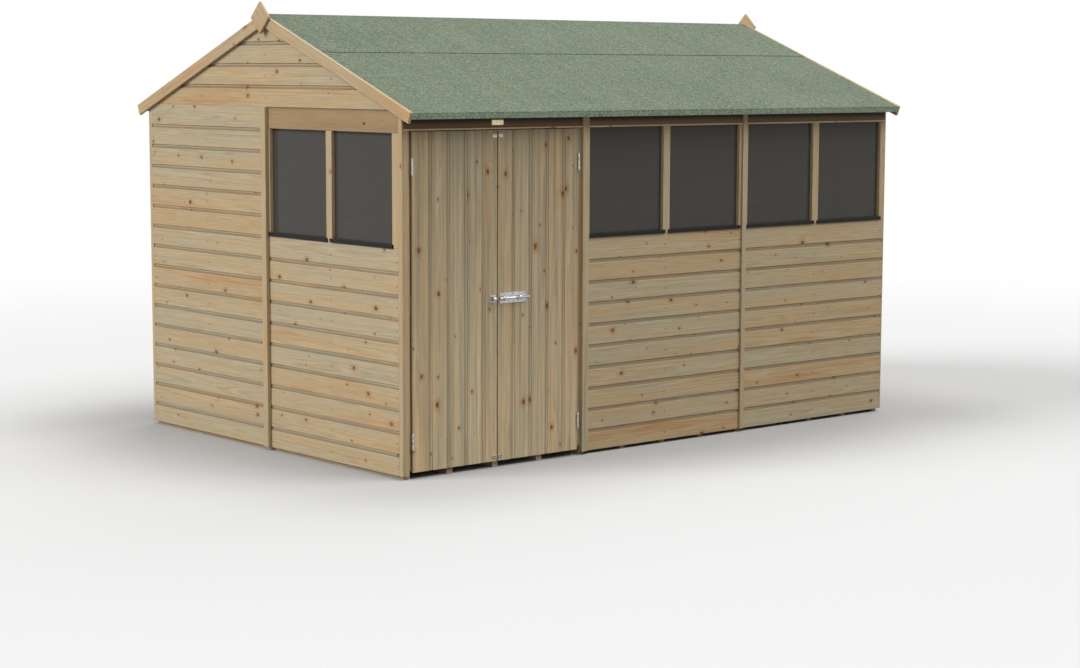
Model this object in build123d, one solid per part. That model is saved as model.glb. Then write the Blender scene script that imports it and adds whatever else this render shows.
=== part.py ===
from build123d import *
import math
import os

# A wooden garden shed of framed panels: +X along the front, the doors face -Y, +Z up.
# The origin is at ground level under the middle of the floor. Lengths are in millimetres.

# Clearances between pieces
fit_gap = 0.3
overrun = 10.0

# Wall panels and their framing
panel_width = 1200.0
panel_count = 3
gable_panel_width = 1150.0
gable_panel_count = 2
batten_width = 35.0
batten_depth = 35.0
stud_width = 50.0

# Shiplap boards
cladding_thickness = 12.0
board_cover = 114.5
cove_height = 22.0
cove_depth = 6.0
board_tongue = 11.0
hem_height = 18.0
wall_board_count = 16
sill_board_count = 10
gable_head_board_count = 15
front_head_board_height = 101.0

# Cover strips
strip_width = 44.0
window_strip_width = 32.0
corner_strip_width = 30.0
strip_thickness = 12.0
gable_strip_thickness = 20.0
strip_eaves_drop = 10.0

# Floor
bearer_width = 38.0
bearer_height = 40.0
bearer_pitch = 300.0
floor_thickness = 12.0
floor_set_back = 7.0

# Windows
glass_thickness = 3.0
glass_set_back = 8.0
drip_height = 20.0
drip_depth = 8.0
drip_end_lap = 10.0
mullion_foot_width = 25.0

# Roof
roof_pitch = 21.2
eaves_overhang = 83.0
deck_thickness = 18.0
felt_thickness = 3.0
ridge_felt_reach = 550.0
felt_turn_down = 33.0
eaves_rail_width = 25.0
verge_gap = 2.0
barge_depth = 60.0
barge_thickness = 16.0
barge_rise = 1.0
finial_side = 120.0
finial_thickness = 14.0
finial_rise = 10.0
rafter_depth = 60.0
rafter_width = 35.0
ridge_board_width = 24.0
ridge_board_depth = 70.0
collar_height = 60.0
collar_level = 2010.0

# Door opening and leaves
post_width = 45.0
post_facing_width = 21.0
corner_facing_width = 29.0
header_drop = 5.0
hinge_side_gap = 5.0
meeting_gap = 8.0
door_head_gap = 5.0
door_bottom = 34.0
ledge_height = 90.0
ledge_thickness = 22.0
ledge_inset = 40.0
brace_width = 80.0
lower_hinge_level = 190.0
upper_hinge_level = 1570.0

# Butt hinges
hinge_length = 87.0
hinge_leaf_depth = 34.0
hinge_leaf_thickness = 1.8
knuckle_count = 3
knuckle_radius = 5.5
knuckle_gap = 0.5
pin_radius = 2.5
pin_clearance = 0.1

# Pad bolt and catches
bolt_plate_length = 180.0
bolt_plate_height = 54.0
bolt_plate_thickness = 3.0
bolt_plate_edge = 10.0
bolt_radius = 7.0
bolt_clearance = 0.6
bolt_tip_edge = 3.0
bolt_throw = 50.0
saddle_length = 18.0
saddle_wall = 4.0
saddle_inset = 14.0
handle_length = 26.0
handle_radius = 5.0
handle_room = 15.0
keep_width = 36.0
keep_height = 36.0
keep_edge = 8.0
catch_length = 26.0
catch_height = 15.0
catch_thickness = 4.0
catch_edge = 3.0
upper_catch_drop = 30.0
lower_catch_rise = 24.0

# Bare plaque over the doors
plaque_width = 77.0
plaque_height = 26.0
plaque_thickness = 2.0
plaque_level_share = 1 / 3

# Sizes that follow from these
wall_thickness = batten_depth + cladding_thickness
front_length = panel_width * panel_count
gable_length = gable_panel_width * gable_panel_count
half_length = front_length / 2
half_depth = gable_length / 2 + wall_thickness
wall_top = hem_height + wall_board_count * board_cover
sill_level = hem_height + sill_board_count * board_cover
gable_head_level = hem_height + gable_head_board_count * board_cover
front_head_level = wall_top - front_head_board_height
floor_top = bearer_height + floor_thickness
floor_half_length = half_length - floor_set_back
floor_half_depth = half_depth - cladding_thickness - floor_set_back
corner_lap = wall_thickness - corner_strip_width
pitch_tangent = math.tan(math.radians(roof_pitch))
pitch_cosine = math.cos(math.radians(roof_pitch))
pitch_sine = math.sin(math.radians(roof_pitch))
ridge_underside = wall_top + fit_gap + half_depth * pitch_tangent
slope_length = (half_depth + eaves_overhang) / pitch_cosine
roof_half_length = half_length + cladding_thickness + verge_gap
leaf_width = (panel_width - 2 * post_width - 2 * hinge_side_gap - meeting_gap) / 2
leaf_start = post_width + hinge_side_gap
door_top = front_head_level - door_head_gap
door_centre = panel_width / 2

# Each wall has its own axes: along it, up it and out of it, from the outer face of its framing
front_wall = Plane(
    origin=(-half_length, cladding_thickness - half_depth, 0), x_dir=(1, 0, 0), z_dir=(0, -1, 0)
)
back_wall = Plane(
    origin=(half_length, half_depth - cladding_thickness, 0), x_dir=(-1, 0, 0), z_dir=(0, 1, 0)
)
left_wall = Plane(origin=(-half_length, gable_length / 2, 0), x_dir=(0, -1, 0), z_dir=(-1, 0, 0))
right_wall = Plane(origin=(half_length, -gable_length / 2, 0), x_dir=(0, 1, 0), z_dir=(1, 0, 0))
frame_out = (-batten_depth, 0)
cladding_out = (0, cladding_thickness)
facing_out = (0, cladding_thickness - fit_gap)
strip_out = (cladding_thickness, cladding_thickness + strip_thickness)
gable_strip_out = (cladding_thickness, cladding_thickness + gable_strip_thickness)
drip_out = (cladding_thickness, cladding_thickness + drip_depth)


def span_box(x, y, z):
    """Box between a low and a high limit on each axis."""
    size = [high - low for low, high in (x, y, z)]
    return Pos(x[0], y[0], z[0]) * Solid.make_box(*size)


def wall_box(wall, along, up, out):
    """Box on a wall, between limits along it, up it and out of it."""
    return wall.location * span_box(along, up, out)


def prism(points, direction):
    """Solid swept in a straight line from a closed outline."""
    return Solid.extrude(Face(Wire.make_polygon(points, close=True)), Vector(*direction))


def roof_prism(outline, x):
    """Solid between two x limits over a closed outline of (y, z) points."""
    points = [(x[0], across, up) for across, up in outline]
    return prism(points, (x[1] - x[0], 0, 0))


def bay(index, width):
    """Limits along a wall of one panel, a hair short of its neighbours."""
    return (index * width + fit_gap, (index + 1) * width - fit_gap)


def cove(edge_at):
    """Hollow at the upper edge of a board, from its face to its deepest point."""
    radius = (cove_depth**2 + cove_height**2) / (2 * cove_depth)
    start = Vector(0, edge_at - cove_height, cladding_thickness)
    end = Vector(0, edge_at, cladding_thickness - cove_depth)
    centre = end + Vector(0, 0, radius)
    middle = centre + ((start - centre) + (end - centre)).normalized() * radius
    return Edge.make_three_point_arc(start, middle, end)


def shiplap(length, edges):
    """Boards laid along x, stacked along y at the given edges, with their faces up z."""
    face = cladding_thickness
    corners = [(0, edges[0], 0), (0, edges[0], face)]
    outline = [Edge.make_line(*corners)]
    last = corners[-1]
    for edge_at in edges[1:-1]:
        hollow = cove(edge_at)
        outline.append(Edge.make_line(last, hollow.start_point()))
        outline.append(hollow)
        last = (0, edge_at, face)
        outline.append(Edge.make_line(hollow.end_point(), last))
    top = [last, (0, edges[-1], face), (0, edges[-1], 0), corners[0]]
    outline.extend(Edge.make_line(*pair) for pair in zip(top, top[1:]))
    return Solid.extrude(Face(Wire(outline)), Vector(length, 0, 0))


def board_edges(count, start=hem_height):
    """Edges of whole boards stacked upwards."""
    return [start + index * board_cover for index in range(count + 1)]


def cladding(wall, along, count):
    """Horizontal shiplap on a wall, from its hem up by a number of boards."""
    boards = shiplap(along[1] - along[0], board_edges(count))
    return wall.location * Pos(along[0], 0, 0) * boards


def rails(wall, along, levels):
    """Rails between the stiles of a panel, by the level of each lower edge."""
    inner = (along[0] + batten_width + fit_gap, along[1] - batten_width - fit_gap)
    return [wall_box(wall, inner, (low, low + batten_width), frame_out) for low in levels]


def stiles(wall, along):
    """Upright battens at both ends of a panel."""
    up = (floor_top, wall_top)
    near = (along[0], along[0] + batten_width)
    far = (along[1] - batten_width, along[1])
    return [wall_box(wall, ends, up, frame_out) for ends in (near, far)]


def stud(wall, along, low, high):
    """Upright in the middle of a panel, between two rails."""
    middle = sum(along) / 2
    span = (middle - stud_width / 2, middle + stud_width / 2)
    return wall_box(wall, span, (low + fit_gap, high - fit_gap), frame_out)


def plain_frame(wall, along):
    """Framing of a panel without a window."""
    low = floor_top
    high = wall_top - batten_width
    upright = stud(wall, along, low + batten_width, high)
    return stiles(wall, along) + rails(wall, along, [low, high]) + [upright]


def window_frame(wall, along, head):
    """Framing of a panel with a window above its sill."""
    sill = sill_level - batten_width
    levels = [floor_top, sill, head, wall_top - batten_width]
    uprights = [
        stud(wall, along, floor_top + batten_width, sill),
        stud(wall, along, sill_level, head),
    ]
    return stiles(wall, along) + rails(wall, along, levels) + uprights


def panes(wall, along, head):
    """Two sheets of glass, each side of the mullion of a window."""
    middle = sum(along) / 2
    outer = (along[0] + batten_width + fit_gap, along[1] - batten_width - fit_gap)
    inner = (middle - stud_width / 2 - fit_gap, middle + stud_width / 2 + fit_gap)
    up = (sill_level + fit_gap, head - fit_gap)
    out = (-glass_set_back - glass_thickness, -glass_set_back)
    spans = [(outer[0], inner[0]), (inner[1], outer[1])]
    return [wall_box(wall, span, up, out) for span in spans]


def window_facings(wall, along, boards, head):
    """Facings over the stiles and the mullion of a window, in the plane of the wall's boards."""
    middle = sum(along) / 2
    spans = [
        (boards[0], along[0] + batten_width),
        (middle - stud_width / 2, middle + stud_width / 2),
        (along[1] - batten_width, boards[1]),
    ]
    up = (sill_level + fit_gap, head - fit_gap)
    return [wall_box(wall, span, up, facing_out) for span in spans]


def drip_strips(wall, along):
    """Dark strips along the bottom of a window, either side of the mullion's foot."""
    middle = sum(along) / 2
    reach = batten_width - drip_end_lap
    foot = mullion_foot_width / 2
    up = (sill_level, sill_level + drip_height)
    spans = [(along[0] + reach, middle - foot), (middle + foot, along[1] - reach)]
    return [wall_box(wall, span, up, drip_out) for span in spans]


def joint_strip(wall, middle, width, top, out):
    """Cover strip over the joint of two panels."""
    return wall_box(wall, (middle - width / 2, middle + width / 2), (hem_height, top), out)


def gable_strips(wall):
    """Strips of a gable wall: one at each corner, level with the boards, and one over the joint."""
    up = (hem_height, wall_top)
    ends = [
        (-wall_thickness, -corner_lap),
        (gable_length + corner_lap, gable_length + wall_thickness),
    ]
    strips = [wall_box(wall, span, up, cladding_out) for span in ends]
    return strips + [joint_strip(wall, gable_panel_width, strip_width, wall_top, gable_strip_out)]


def long_strips(wall, widths):
    """Cover strips over the joints of a long wall, kept under the eaves."""
    top = wall_top - strip_eaves_drop
    return [
        joint_strip(wall, (index + 1) * panel_width, width, top, strip_out)
        for index, width in enumerate(widths)
    ]


def underside(across):
    """Level of the roof deck's underside at a distance from the ridge line."""
    return ridge_underside - abs(across) * pitch_tangent


def gable_cladding(wall):
    """Boards of the triangle above a gable wall, cut to the roof's slopes."""
    rise = ridge_underside - wall_top
    count = math.ceil(rise / board_cover)
    length = 2 * half_depth
    boards = Pos(-wall_thickness, 0, 0) * shiplap(length, board_edges(count, wall_top))
    middle = gable_length / 2
    outline = [
        (middle - half_depth, wall_top, -overrun),
        (middle + half_depth, wall_top, -overrun),
        (middle, ridge_underside - 2 * fit_gap, -overrun),
    ]
    triangle = prism(outline, (0, 0, cladding_thickness + 2 * overrun))
    return wall.location * boards.intersect(triangle).solid()


def gable_frame(wall):
    """Framing of a gable triangle: a foot rail, two raking rails and a post."""
    middle = gable_length / 2
    apex = ridge_underside - fit_gap
    drop = batten_width / pitch_cosine
    low = wall_top + fit_gap
    rail_top = low + batten_width
    base = rail_top + fit_gap
    reach = [(apex - level) / pitch_tangent for level in (low, rail_top, base, base + drop)]
    outlines = [
        [(-reach[0], low), (reach[0], low), (reach[1], rail_top), (-reach[1], rail_top)]
    ]
    for side in (-1, 1):
        near = side * fit_gap
        peak = apex - fit_gap * pitch_tangent
        outlines.append(
            [(near, peak), (side * reach[2], base), (side * reach[3], base), (near, peak - drop)]
        )
    half = stud_width / 2
    post_top = apex - drop - half * pitch_tangent - fit_gap
    outlines.append([(-half, base), (half, base), (half, post_top), (-half, post_top)])
    pieces = []
    for outline in outlines:
        points = [(middle + across, up, -batten_depth) for across, up in outline]
        pieces.append(wall.location * prism(points, (0, 0, batten_depth)))
    return pieces


def bearers():
    """Floor bearers from front to back: one at each end and the rest a pitch apart from the middle."""
    end = floor_half_length - bearer_width / 2
    count = math.floor((end - bearer_width) / bearer_pitch)
    middles = [-end] + [step * bearer_pitch for step in range(-count, count + 1)] + [end]
    pieces = []
    for middle in middles:
        x = (middle - bearer_width / 2, middle + bearer_width / 2)
        pieces.append(span_box(x, (-floor_half_depth, floor_half_depth), (0, bearer_height)))
    return pieces


def floor_panels():
    """Floor in as many panels as the long walls."""
    width = 2 * floor_half_length / panel_count
    y = (-floor_half_depth, floor_half_depth)
    pieces = []
    for index in range(panel_count):
        low, high = bay(index, width)
        x = (low - floor_half_length, high - floor_half_length)
        pieces.append(span_box(x, y, (bearer_height, floor_top)))
    return pieces


def slope_point(side, along, above):
    """Point (y, z) on a slope: a distance from the ridge and a height square to the slope."""
    across = along * pitch_cosine + above * pitch_sine
    up = ridge_underside - along * pitch_sine + above * pitch_cosine
    return (side * across, up)


def ridge_point(above):
    """Point (y, z) on the ridge line, a height square to the slopes over the deck's underside."""
    return (0, ridge_underside + above / pitch_cosine)


def slope_layer(side, low, high, end, half_span):
    """Layer of one slope from the ridge to its end, between two heights square to the slope."""
    outline = [
        ridge_point(low),
        slope_point(side, end, low),
        slope_point(side, end, high),
        ridge_point(high),
    ]
    return roof_prism(outline, (-half_span, half_span))


def slope_felt(side):
    """Felt of one slope, turned down over the eaves."""
    low = deck_thickness
    high = deck_thickness + felt_thickness
    lip = high - felt_turn_down
    outline = [
        ridge_point(low),
        slope_point(side, slope_length, low),
        slope_point(side, slope_length, lip),
        slope_point(side, slope_length + felt_thickness, lip),
        slope_point(side, slope_length + felt_thickness, high),
        ridge_point(high),
    ]
    return roof_prism(outline, (-roof_half_length, roof_half_length))


def ridge_felt():
    """Felt course laid over the ridge and lapping both slopes."""
    low = deck_thickness + felt_thickness
    high = low + felt_thickness
    outline = [
        ridge_point(low),
        slope_point(1, ridge_felt_reach, low),
        slope_point(1, ridge_felt_reach, high),
        ridge_point(high),
        slope_point(-1, ridge_felt_reach, high),
        slope_point(-1, ridge_felt_reach, low),
    ]
    return roof_prism(outline, (-roof_half_length, roof_half_length))


def eaves_rail(side):
    """Small rail under the edge of the deck that the felt turns down over."""
    lip = deck_thickness + felt_thickness - felt_turn_down
    inner = slope_length - eaves_rail_width
    corners = [(inner, lip), (slope_length, lip), (slope_length, 0), (inner, 0)]
    outline = [slope_point(side, along, above) for along, above in corners]
    return roof_prism(outline, (-roof_half_length, roof_half_length))


def barge_boards(end):
    """Pair of boards along the verges of one gable, meeting on the ridge line."""
    top = deck_thickness + 2 * felt_thickness + barge_rise
    low = top - barge_depth
    foot = slope_length + felt_thickness
    faces = sorted((end * roof_half_length, end * (roof_half_length + barge_thickness)))
    pieces = []
    for side in (-1, 1):
        near = side * fit_gap
        slack = fit_gap * pitch_tangent
        outline = [
            (near, ridge_point(low)[1] - slack),
            slope_point(side, foot, low),
            slope_point(side, foot, top),
            (near, ridge_point(top)[1] - slack),
        ]
        pieces.append(roof_prism(outline, faces))
    return pieces


def finial(end):
    """Square plate turned on its corner, on the meeting of two barge boards."""
    half = finial_side / math.sqrt(2)
    top = deck_thickness + 2 * felt_thickness + barge_rise
    centre = ridge_point(top - barge_depth / 2)[1] + finial_rise
    outline = [(-half, centre), (0, centre - half), (half, centre), (0, centre + half)]
    face = roof_half_length + barge_thickness
    return roof_prism(outline, sorted((end * face, end * (face + finial_thickness))))


def ridge_board():
    """Board under the ridge, from gable frame to gable frame."""
    half = ridge_board_width / 2
    top = underside(half) - fit_gap
    end = half_length - batten_depth - fit_gap
    return span_box((-end, end), (-half, half), (top - ridge_board_depth, top))


def trusses():
    """Rafters and collars over the joints of the long walls' panels."""
    near = ridge_board_width / 2 + fit_gap
    far = gable_length / 2 - fit_gap
    drop = rafter_depth / pitch_cosine
    pieces = []
    for index in range(1, panel_count):
        middle = index * panel_width - half_length
        x = (middle - rafter_width / 2, middle + rafter_width / 2)
        for side in (-1, 1):
            tops = [underside(across) - fit_gap for across in (near, far)]
            outline = [
                (side * near, tops[0]),
                (side * far, tops[1]),
                (side * far, tops[1] - drop),
                (side * near, tops[0] - drop),
            ]
            pieces.append(roof_prism(outline, x))
        collar_top = collar_level + collar_height
        reach = (ridge_underside - fit_gap - collar_top) / pitch_tangent
        collar_x = (x[1] + fit_gap, x[1] + fit_gap + rafter_width)
        pieces.append(span_box(collar_x, (-reach, reach), (collar_level, collar_top)))
    return pieces


def door_post(facing_width):
    """Left post of the door opening, with its facing in the plane of the boards."""
    body = wall_box(front_wall, (fit_gap, post_width), (floor_top, wall_top), frame_out)
    facing_up = (hem_height, front_head_level - fit_gap)
    facing = wall_box(front_wall, (fit_gap, facing_width), facing_up, cladding_out)
    return (body + facing).solid()


def door_header():
    """Header between the posts, behind the board over the doors."""
    along = (post_width + fit_gap, panel_width - post_width - fit_gap)
    return wall_box(front_wall, along, (front_head_level + header_drop, wall_top), frame_out)


def opposite(pieces):
    """The same pieces on the other side of the line where the door leaves meet."""
    line = Plane(origin=(door_centre - half_length, 0, 0), z_dir=(1, 0, 0))
    return [piece.mirror(line) for piece in pieces]


def leaf_boards(start, first):
    """Upright shiplap of a door leaf from its left edge, with the last board trimmed."""
    whole = math.floor((leaf_width - first) / board_cover)
    edges = [0] + [first + index * board_cover for index in range(whole + 1)] + [leaf_width]
    boards = shiplap(door_top - door_bottom, edges)
    lie = Plane(origin=(start, door_top, 0), x_dir=(0, -1, 0), z_dir=(0, 0, 1))
    return front_wall.location * lie.location * boards


def leaf_ledges():
    """Ledges and braces on the back of the left door leaf."""
    free = leaf_start + leaf_width - ledge_inset
    out = (-ledge_thickness, 0)
    middle_level = (lower_hinge_level + upper_hinge_level) / 2
    levels = (lower_hinge_level, middle_level, upper_hinge_level)
    half = ledge_height / 2
    pieces = []
    for level in levels:
        pieces.append(wall_box(front_wall, (leaf_start, free), (level - half, level + half), out))
    foot = leaf_start + ledge_inset
    for low, high in zip(levels, levels[1:]):
        base = low + half + fit_gap
        head = high - half - fit_gap
        outline = [
            (foot, base, out[0]),
            (foot + brace_width, base, out[0]),
            (free, head, out[0]),
            (free - brace_width, head, out[0]),
        ]
        pieces.append(front_wall.location * prism(outline, (0, 0, ledge_thickness)))
    return pieces


hinge_axis_along = post_width + hinge_side_gap / 2
hinge_axis_out = cladding_thickness + knuckle_radius
knuckle_length = (hinge_length - (knuckle_count - 1) * knuckle_gap) / knuckle_count


def upright_cylinder(radius, low, high):
    """Cylinder on the hinge line of the left door leaf, in the front wall's axes."""
    foot = Plane(origin=(hinge_axis_along, low, hinge_axis_out), z_dir=(0, 1, 0))
    return Solid.make_cylinder(radius, high - low, foot)


def hinge_leaf(along, low, knuckles):
    """Flat of a hinge with the tabs that run into its own knuckles."""
    back = cladding_thickness - hinge_leaf_depth
    flat = span_box(along, (low, low + hinge_length), (back, cladding_thickness))
    for start in knuckles:
        up = (start, start + knuckle_length)
        flat = flat + span_box(along, up, (back, hinge_axis_out))
        flat = flat + upright_cylinder(knuckle_radius, *up)
    return flat


def door_hinges():
    """Hinge halves on the left door leaf, each with two knuckles and the pin."""
    along = (leaf_start - hinge_leaf_thickness, leaf_start)
    pieces = []
    for level in (lower_hinge_level, upper_hinge_level):
        low = level - hinge_length / 2
        outer = [low, low + 2 * (knuckle_length + knuckle_gap)]
        half = hinge_leaf(along, low, outer) + upright_cylinder(pin_radius, low, low + hinge_length)
        pieces.append(front_wall.location * half.solid())
    return pieces


def post_hinges():
    """Hinge halves on the left door post, each with the middle knuckle."""
    along = (post_width, post_width + hinge_leaf_thickness)
    pieces = []
    for level in (lower_hinge_level, upper_hinge_level):
        low = level - hinge_length / 2
        start = low + knuckle_length + knuckle_gap
        half = hinge_leaf(along, low, [start])
        bore = upright_cylinder(pin_radius + pin_clearance, low, low + hinge_length)
        pieces.append(front_wall.location * (half - bore).solid())
    return pieces


bolt_level = (lower_hinge_level + upper_hinge_level) / 2
right_leaf_edge = door_centre + meeting_gap / 2
left_leaf_edge = door_centre - meeting_gap / 2
plate_out = (cladding_thickness, cladding_thickness + bolt_plate_thickness)
saddle_radius = bolt_radius + bolt_clearance + saddle_wall
bolt_axis_out = plate_out[0] + saddle_radius
plate_start = right_leaf_edge + bolt_plate_edge
first_saddle = plate_start + saddle_inset
last_saddle = first_saddle + saddle_length + bolt_throw + 2 * (handle_radius + handle_room)
bolt_along = (right_leaf_edge + bolt_tip_edge, last_saddle + saddle_length + bolt_throw)
handle_along = last_saddle - handle_room - handle_radius


def level_cylinder(radius, along):
    """Cylinder on the bolt's line, in the front wall's axes."""
    foot = Plane(origin=(along[0], bolt_level, bolt_axis_out), z_dir=(1, 0, 0))
    return Solid.make_cylinder(radius, along[1] - along[0], foot)


def saddle(start):
    """Bridge over the bolt, with room for it to slide."""
    along = (start, start + saddle_length)
    up = (bolt_level - saddle_radius, bolt_level + saddle_radius)
    return span_box(along, up, (plate_out[0], bolt_axis_out)) + level_cylinder(saddle_radius, along)


def bored(piece, along):
    """A bolt fitting with the bolt's way cut through it."""
    cut = (along[0] - overrun, along[1] + overrun)
    way = level_cylinder(bolt_radius + bolt_clearance, cut)
    return front_wall.location * (piece - way).solid()


def bolt_plate():
    """Plate of the pad bolt on the right leaf, with two saddles."""
    along = (plate_start, plate_start + bolt_plate_length)
    up = (bolt_level - bolt_plate_height / 2, bolt_level + bolt_plate_height / 2)
    plate = span_box(along, up, plate_out) + saddle(first_saddle) + saddle(last_saddle)
    return bored(plate, along)


def bolt_keep():
    """Keep on the left leaf that the bolt slides into."""
    high = left_leaf_edge - keep_edge
    along = (high - keep_width, high)
    up = (bolt_level - keep_height / 2, bolt_level + keep_height / 2)
    plate = span_box(along, up, plate_out)
    plate = plate + saddle(sum(along) / 2 - saddle_length / 2)
    return bored(plate, along)


def bolt_rod():
    """Bolt of the pad bolt, drawn back, with its handle."""
    foot = Plane(origin=(handle_along, bolt_level, bolt_axis_out), z_dir=(0, 0, 1))
    handle = Solid.make_cylinder(handle_radius, handle_length, foot)
    return front_wall.location * (level_cylinder(bolt_radius, bolt_along) + handle).solid()


def leaf_catches():
    """Half catches at the top and the bottom of the left leaf's meeting edge."""
    high = left_leaf_edge - catch_edge
    along = (high - catch_length, high)
    out = (cladding_thickness, cladding_thickness + catch_thickness)
    half = catch_height / 2
    levels = (door_bottom + lower_catch_rise, door_top - upper_catch_drop)
    return [wall_box(front_wall, along, (level - half, level + half), out) for level in levels]


def plaque():
    """Bare plaque on the board over the doors."""
    along = (door_centre - plaque_width / 2, door_centre + plaque_width / 2)
    middle = front_head_level + front_head_board_height * plaque_level_share
    up = (middle - plaque_height / 2, middle + plaque_height / 2)
    out = (cladding_thickness, cladding_thickness + plaque_thickness)
    return wall_box(front_wall, along, up, out)


def head_board(wall, along, head):
    """Board over an opening, up to the top of its wall."""
    return wall_box(wall, along, (head, wall_top), cladding_out)


front_bays = [bay(index, panel_width) for index in range(panel_count)]
window_bays = front_bays[1:]
front_strip_widths = [strip_width] + [window_strip_width] * (panel_count - 2)
back_strip_widths = [strip_width] * (panel_count - 1)
gable_bays = [bay(index, gable_panel_width) for index in range(gable_panel_count)]
gable_boards = [list(along) for along in gable_bays]
gable_boards[0][0] -= corner_lap
gable_boards[-1][1] += corner_lap
window_end = gable_bays[-1]
window_boards = gable_boards[-1]

left_frame = window_frame(left_wall, window_end, gable_head_level)
left_drips = drip_strips(left_wall, window_end)
left_facings = window_facings(left_wall, window_end, window_boards, gable_head_level)
front_drips = [strip for along in window_bays for strip in drip_strips(front_wall, along)]
front_facings = [
    facing for along in window_bays for facing in window_facings(front_wall, along, along, front_head_level)
]

nodes = {
    "floor_bearers": bearers(),
    "floor_panels": floor_panels(),
    "door_frame": [door_post(corner_facing_width), door_header()] + opposite([door_post(post_facing_width)]),
    "head_boards": [head_board(front_wall, along, front_head_level) for along in front_bays]
    + [head_board(left_wall, window_boards, gable_head_level)],
    "front_cladding": [cladding(front_wall, along, sill_board_count) for along in window_bays],
    "front_frames": [
        piece for along in window_bays for piece in window_frame(front_wall, along, front_head_level)
    ],
    "front_glass": [pane for along in window_bays for pane in panes(front_wall, along, front_head_level)],
    "front_cover_strips": long_strips(front_wall, front_strip_widths) + front_facings,
    "left_cladding": [cladding(left_wall, along, wall_board_count) for along in gable_boards[:-1]]
    + [cladding(left_wall, window_boards, sill_board_count)],
    "left_frames": [piece for along in gable_bays[:-1] for piece in plain_frame(left_wall, along)]
    + left_frame,
    "left_glass": panes(left_wall, window_end, gable_head_level),
    "left_cover_strips": gable_strips(left_wall) + left_facings,
    "left_gable_cladding": [gable_cladding(left_wall)],
    "gable_frames": gable_frame(left_wall) + gable_frame(right_wall),
    "window_drip_strips": left_drips + front_drips,
    "right_cladding": [cladding(right_wall, along, wall_board_count) for along in gable_boards],
    "right_frames": [piece for along in gable_bays for piece in plain_frame(right_wall, along)],
    "right_cover_strips": gable_strips(right_wall),
    "right_gable_cladding": [gable_cladding(right_wall)],
    "back_cladding": [cladding(back_wall, along, wall_board_count) for along in front_bays],
    "back_frames": [piece for along in front_bays for piece in plain_frame(back_wall, along)],
    "back_cover_strips": long_strips(back_wall, back_strip_widths),
    "roof_deck_front": [slope_layer(-1, 0, deck_thickness, slope_length, roof_half_length)],
    "roof_deck_back": [slope_layer(1, 0, deck_thickness, slope_length, roof_half_length)],
    "roof_felt_front": [slope_felt(-1)],
    "roof_felt_back": [slope_felt(1)],
    "roof_felt_ridge": [ridge_felt()],
    "eaves_rails": [eaves_rail(-1), eaves_rail(1)],
    "ridge_board": [ridge_board()],
    "roof_trusses": trusses(),
    "barge_boards": barge_boards(-1) + barge_boards(1),
    "finials": [finial(-1), finial(1)],
    "door_plaque": [plaque()],
    "post_hinges": post_hinges() + opposite(post_hinges()),
    "left_door_boards": [leaf_boards(leaf_start, board_cover + board_tongue)],
    "left_door_ledges": leaf_ledges(),
    "left_door_hinges": door_hinges(),
    "left_door_catches": leaf_catches(),
    "bolt_keep": [bolt_keep()],
    "right_door_boards": [leaf_boards(right_leaf_edge, board_cover)],
    "right_door_ledges": opposite(leaf_ledges()),
    "right_door_hinges": opposite(door_hinges()),
    "right_door_catches": opposite(leaf_catches()),
    "bolt_plate": [bolt_plate()],
    "bolt_rod": [bolt_rod()],
}

os.makedirs("parts", exist_ok=True)
for name, solids in nodes.items():
    export_step(Compound(solids), f"parts/{name}.step")
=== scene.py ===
"""Garden shed: boards, battens, felt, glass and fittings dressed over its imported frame."""
import logging
import math
import random
from dataclasses import dataclass, field
from enum import Enum
from typing import Dict, List, Optional, Sequence, Tuple, Union

import bmesh
import bpy
from bmesh.types import BMEdge, BMesh, BMVert
from mathutils import Matrix, Vector


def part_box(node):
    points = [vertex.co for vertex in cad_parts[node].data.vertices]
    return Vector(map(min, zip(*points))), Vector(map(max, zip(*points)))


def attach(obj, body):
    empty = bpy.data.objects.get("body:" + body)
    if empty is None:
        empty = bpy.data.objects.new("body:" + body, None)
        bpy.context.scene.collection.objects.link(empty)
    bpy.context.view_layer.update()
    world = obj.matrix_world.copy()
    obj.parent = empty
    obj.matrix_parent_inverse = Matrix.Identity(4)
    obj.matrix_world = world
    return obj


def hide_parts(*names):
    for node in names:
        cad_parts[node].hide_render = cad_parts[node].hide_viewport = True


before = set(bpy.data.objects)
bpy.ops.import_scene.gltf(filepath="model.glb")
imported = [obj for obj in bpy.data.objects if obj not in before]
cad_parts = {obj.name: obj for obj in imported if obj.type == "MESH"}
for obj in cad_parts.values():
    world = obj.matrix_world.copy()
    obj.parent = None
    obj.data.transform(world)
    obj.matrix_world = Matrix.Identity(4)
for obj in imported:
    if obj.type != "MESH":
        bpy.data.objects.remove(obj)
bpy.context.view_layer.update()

IMAGE_WIDTH = 1080
MERGE_DISTANCE = 0.00001
TIE_LENGTH = 0.0005
TIE_SHARE = 0.99
FLAT_ANGLE = math.radians(1.0)
SHARP_ANGLE = math.radians(32.0)
ROUNDING_WIDTH = 0.005
NOISE_MIDDLE = 0.5
LOG_LENGTH = 60.0
LOG_SHIFT = 0.06
LOG_DEPTHS = (0.02, 0.09)
# Shares of a hollow's height over which painted shade sets in, is full and fades out.
HOLLOW_SHADE_START = 0.08
HOLLOW_SHADE_END = 0.85
HOLLOW_SHADE_FADE = 0.45
WHITE = (1.0, 1.0, 1.0, 1.0)
GRAIN = "grain"
TONE = "tone"
FIXING = "fixing"
# Vertex attribute of painted shade, in the boards' hollows and on the head boards' upper parts.
PAINTED_SHADE = "hollow"
# Vertex attribute of painted light on the felt turned down over the eaves.
FOLD_LIGHT = "worn"
# Vertex attribute for painted shade at the door boards' heads under the eaves and painted light at
# their feet.
EAVES_SHADE = "bleach"
LOG = logging.getLogger("shed")

Colour = Tuple[float, float, float, float]
Stops = Sequence[Tuple[float, Colour]]
Triple = Tuple[float, float, float]
Pair = Tuple[float, float]
Box = Tuple[Vector, Vector]
Head = Tuple[Vector, Vector]
Key = Union[str, int]


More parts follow.
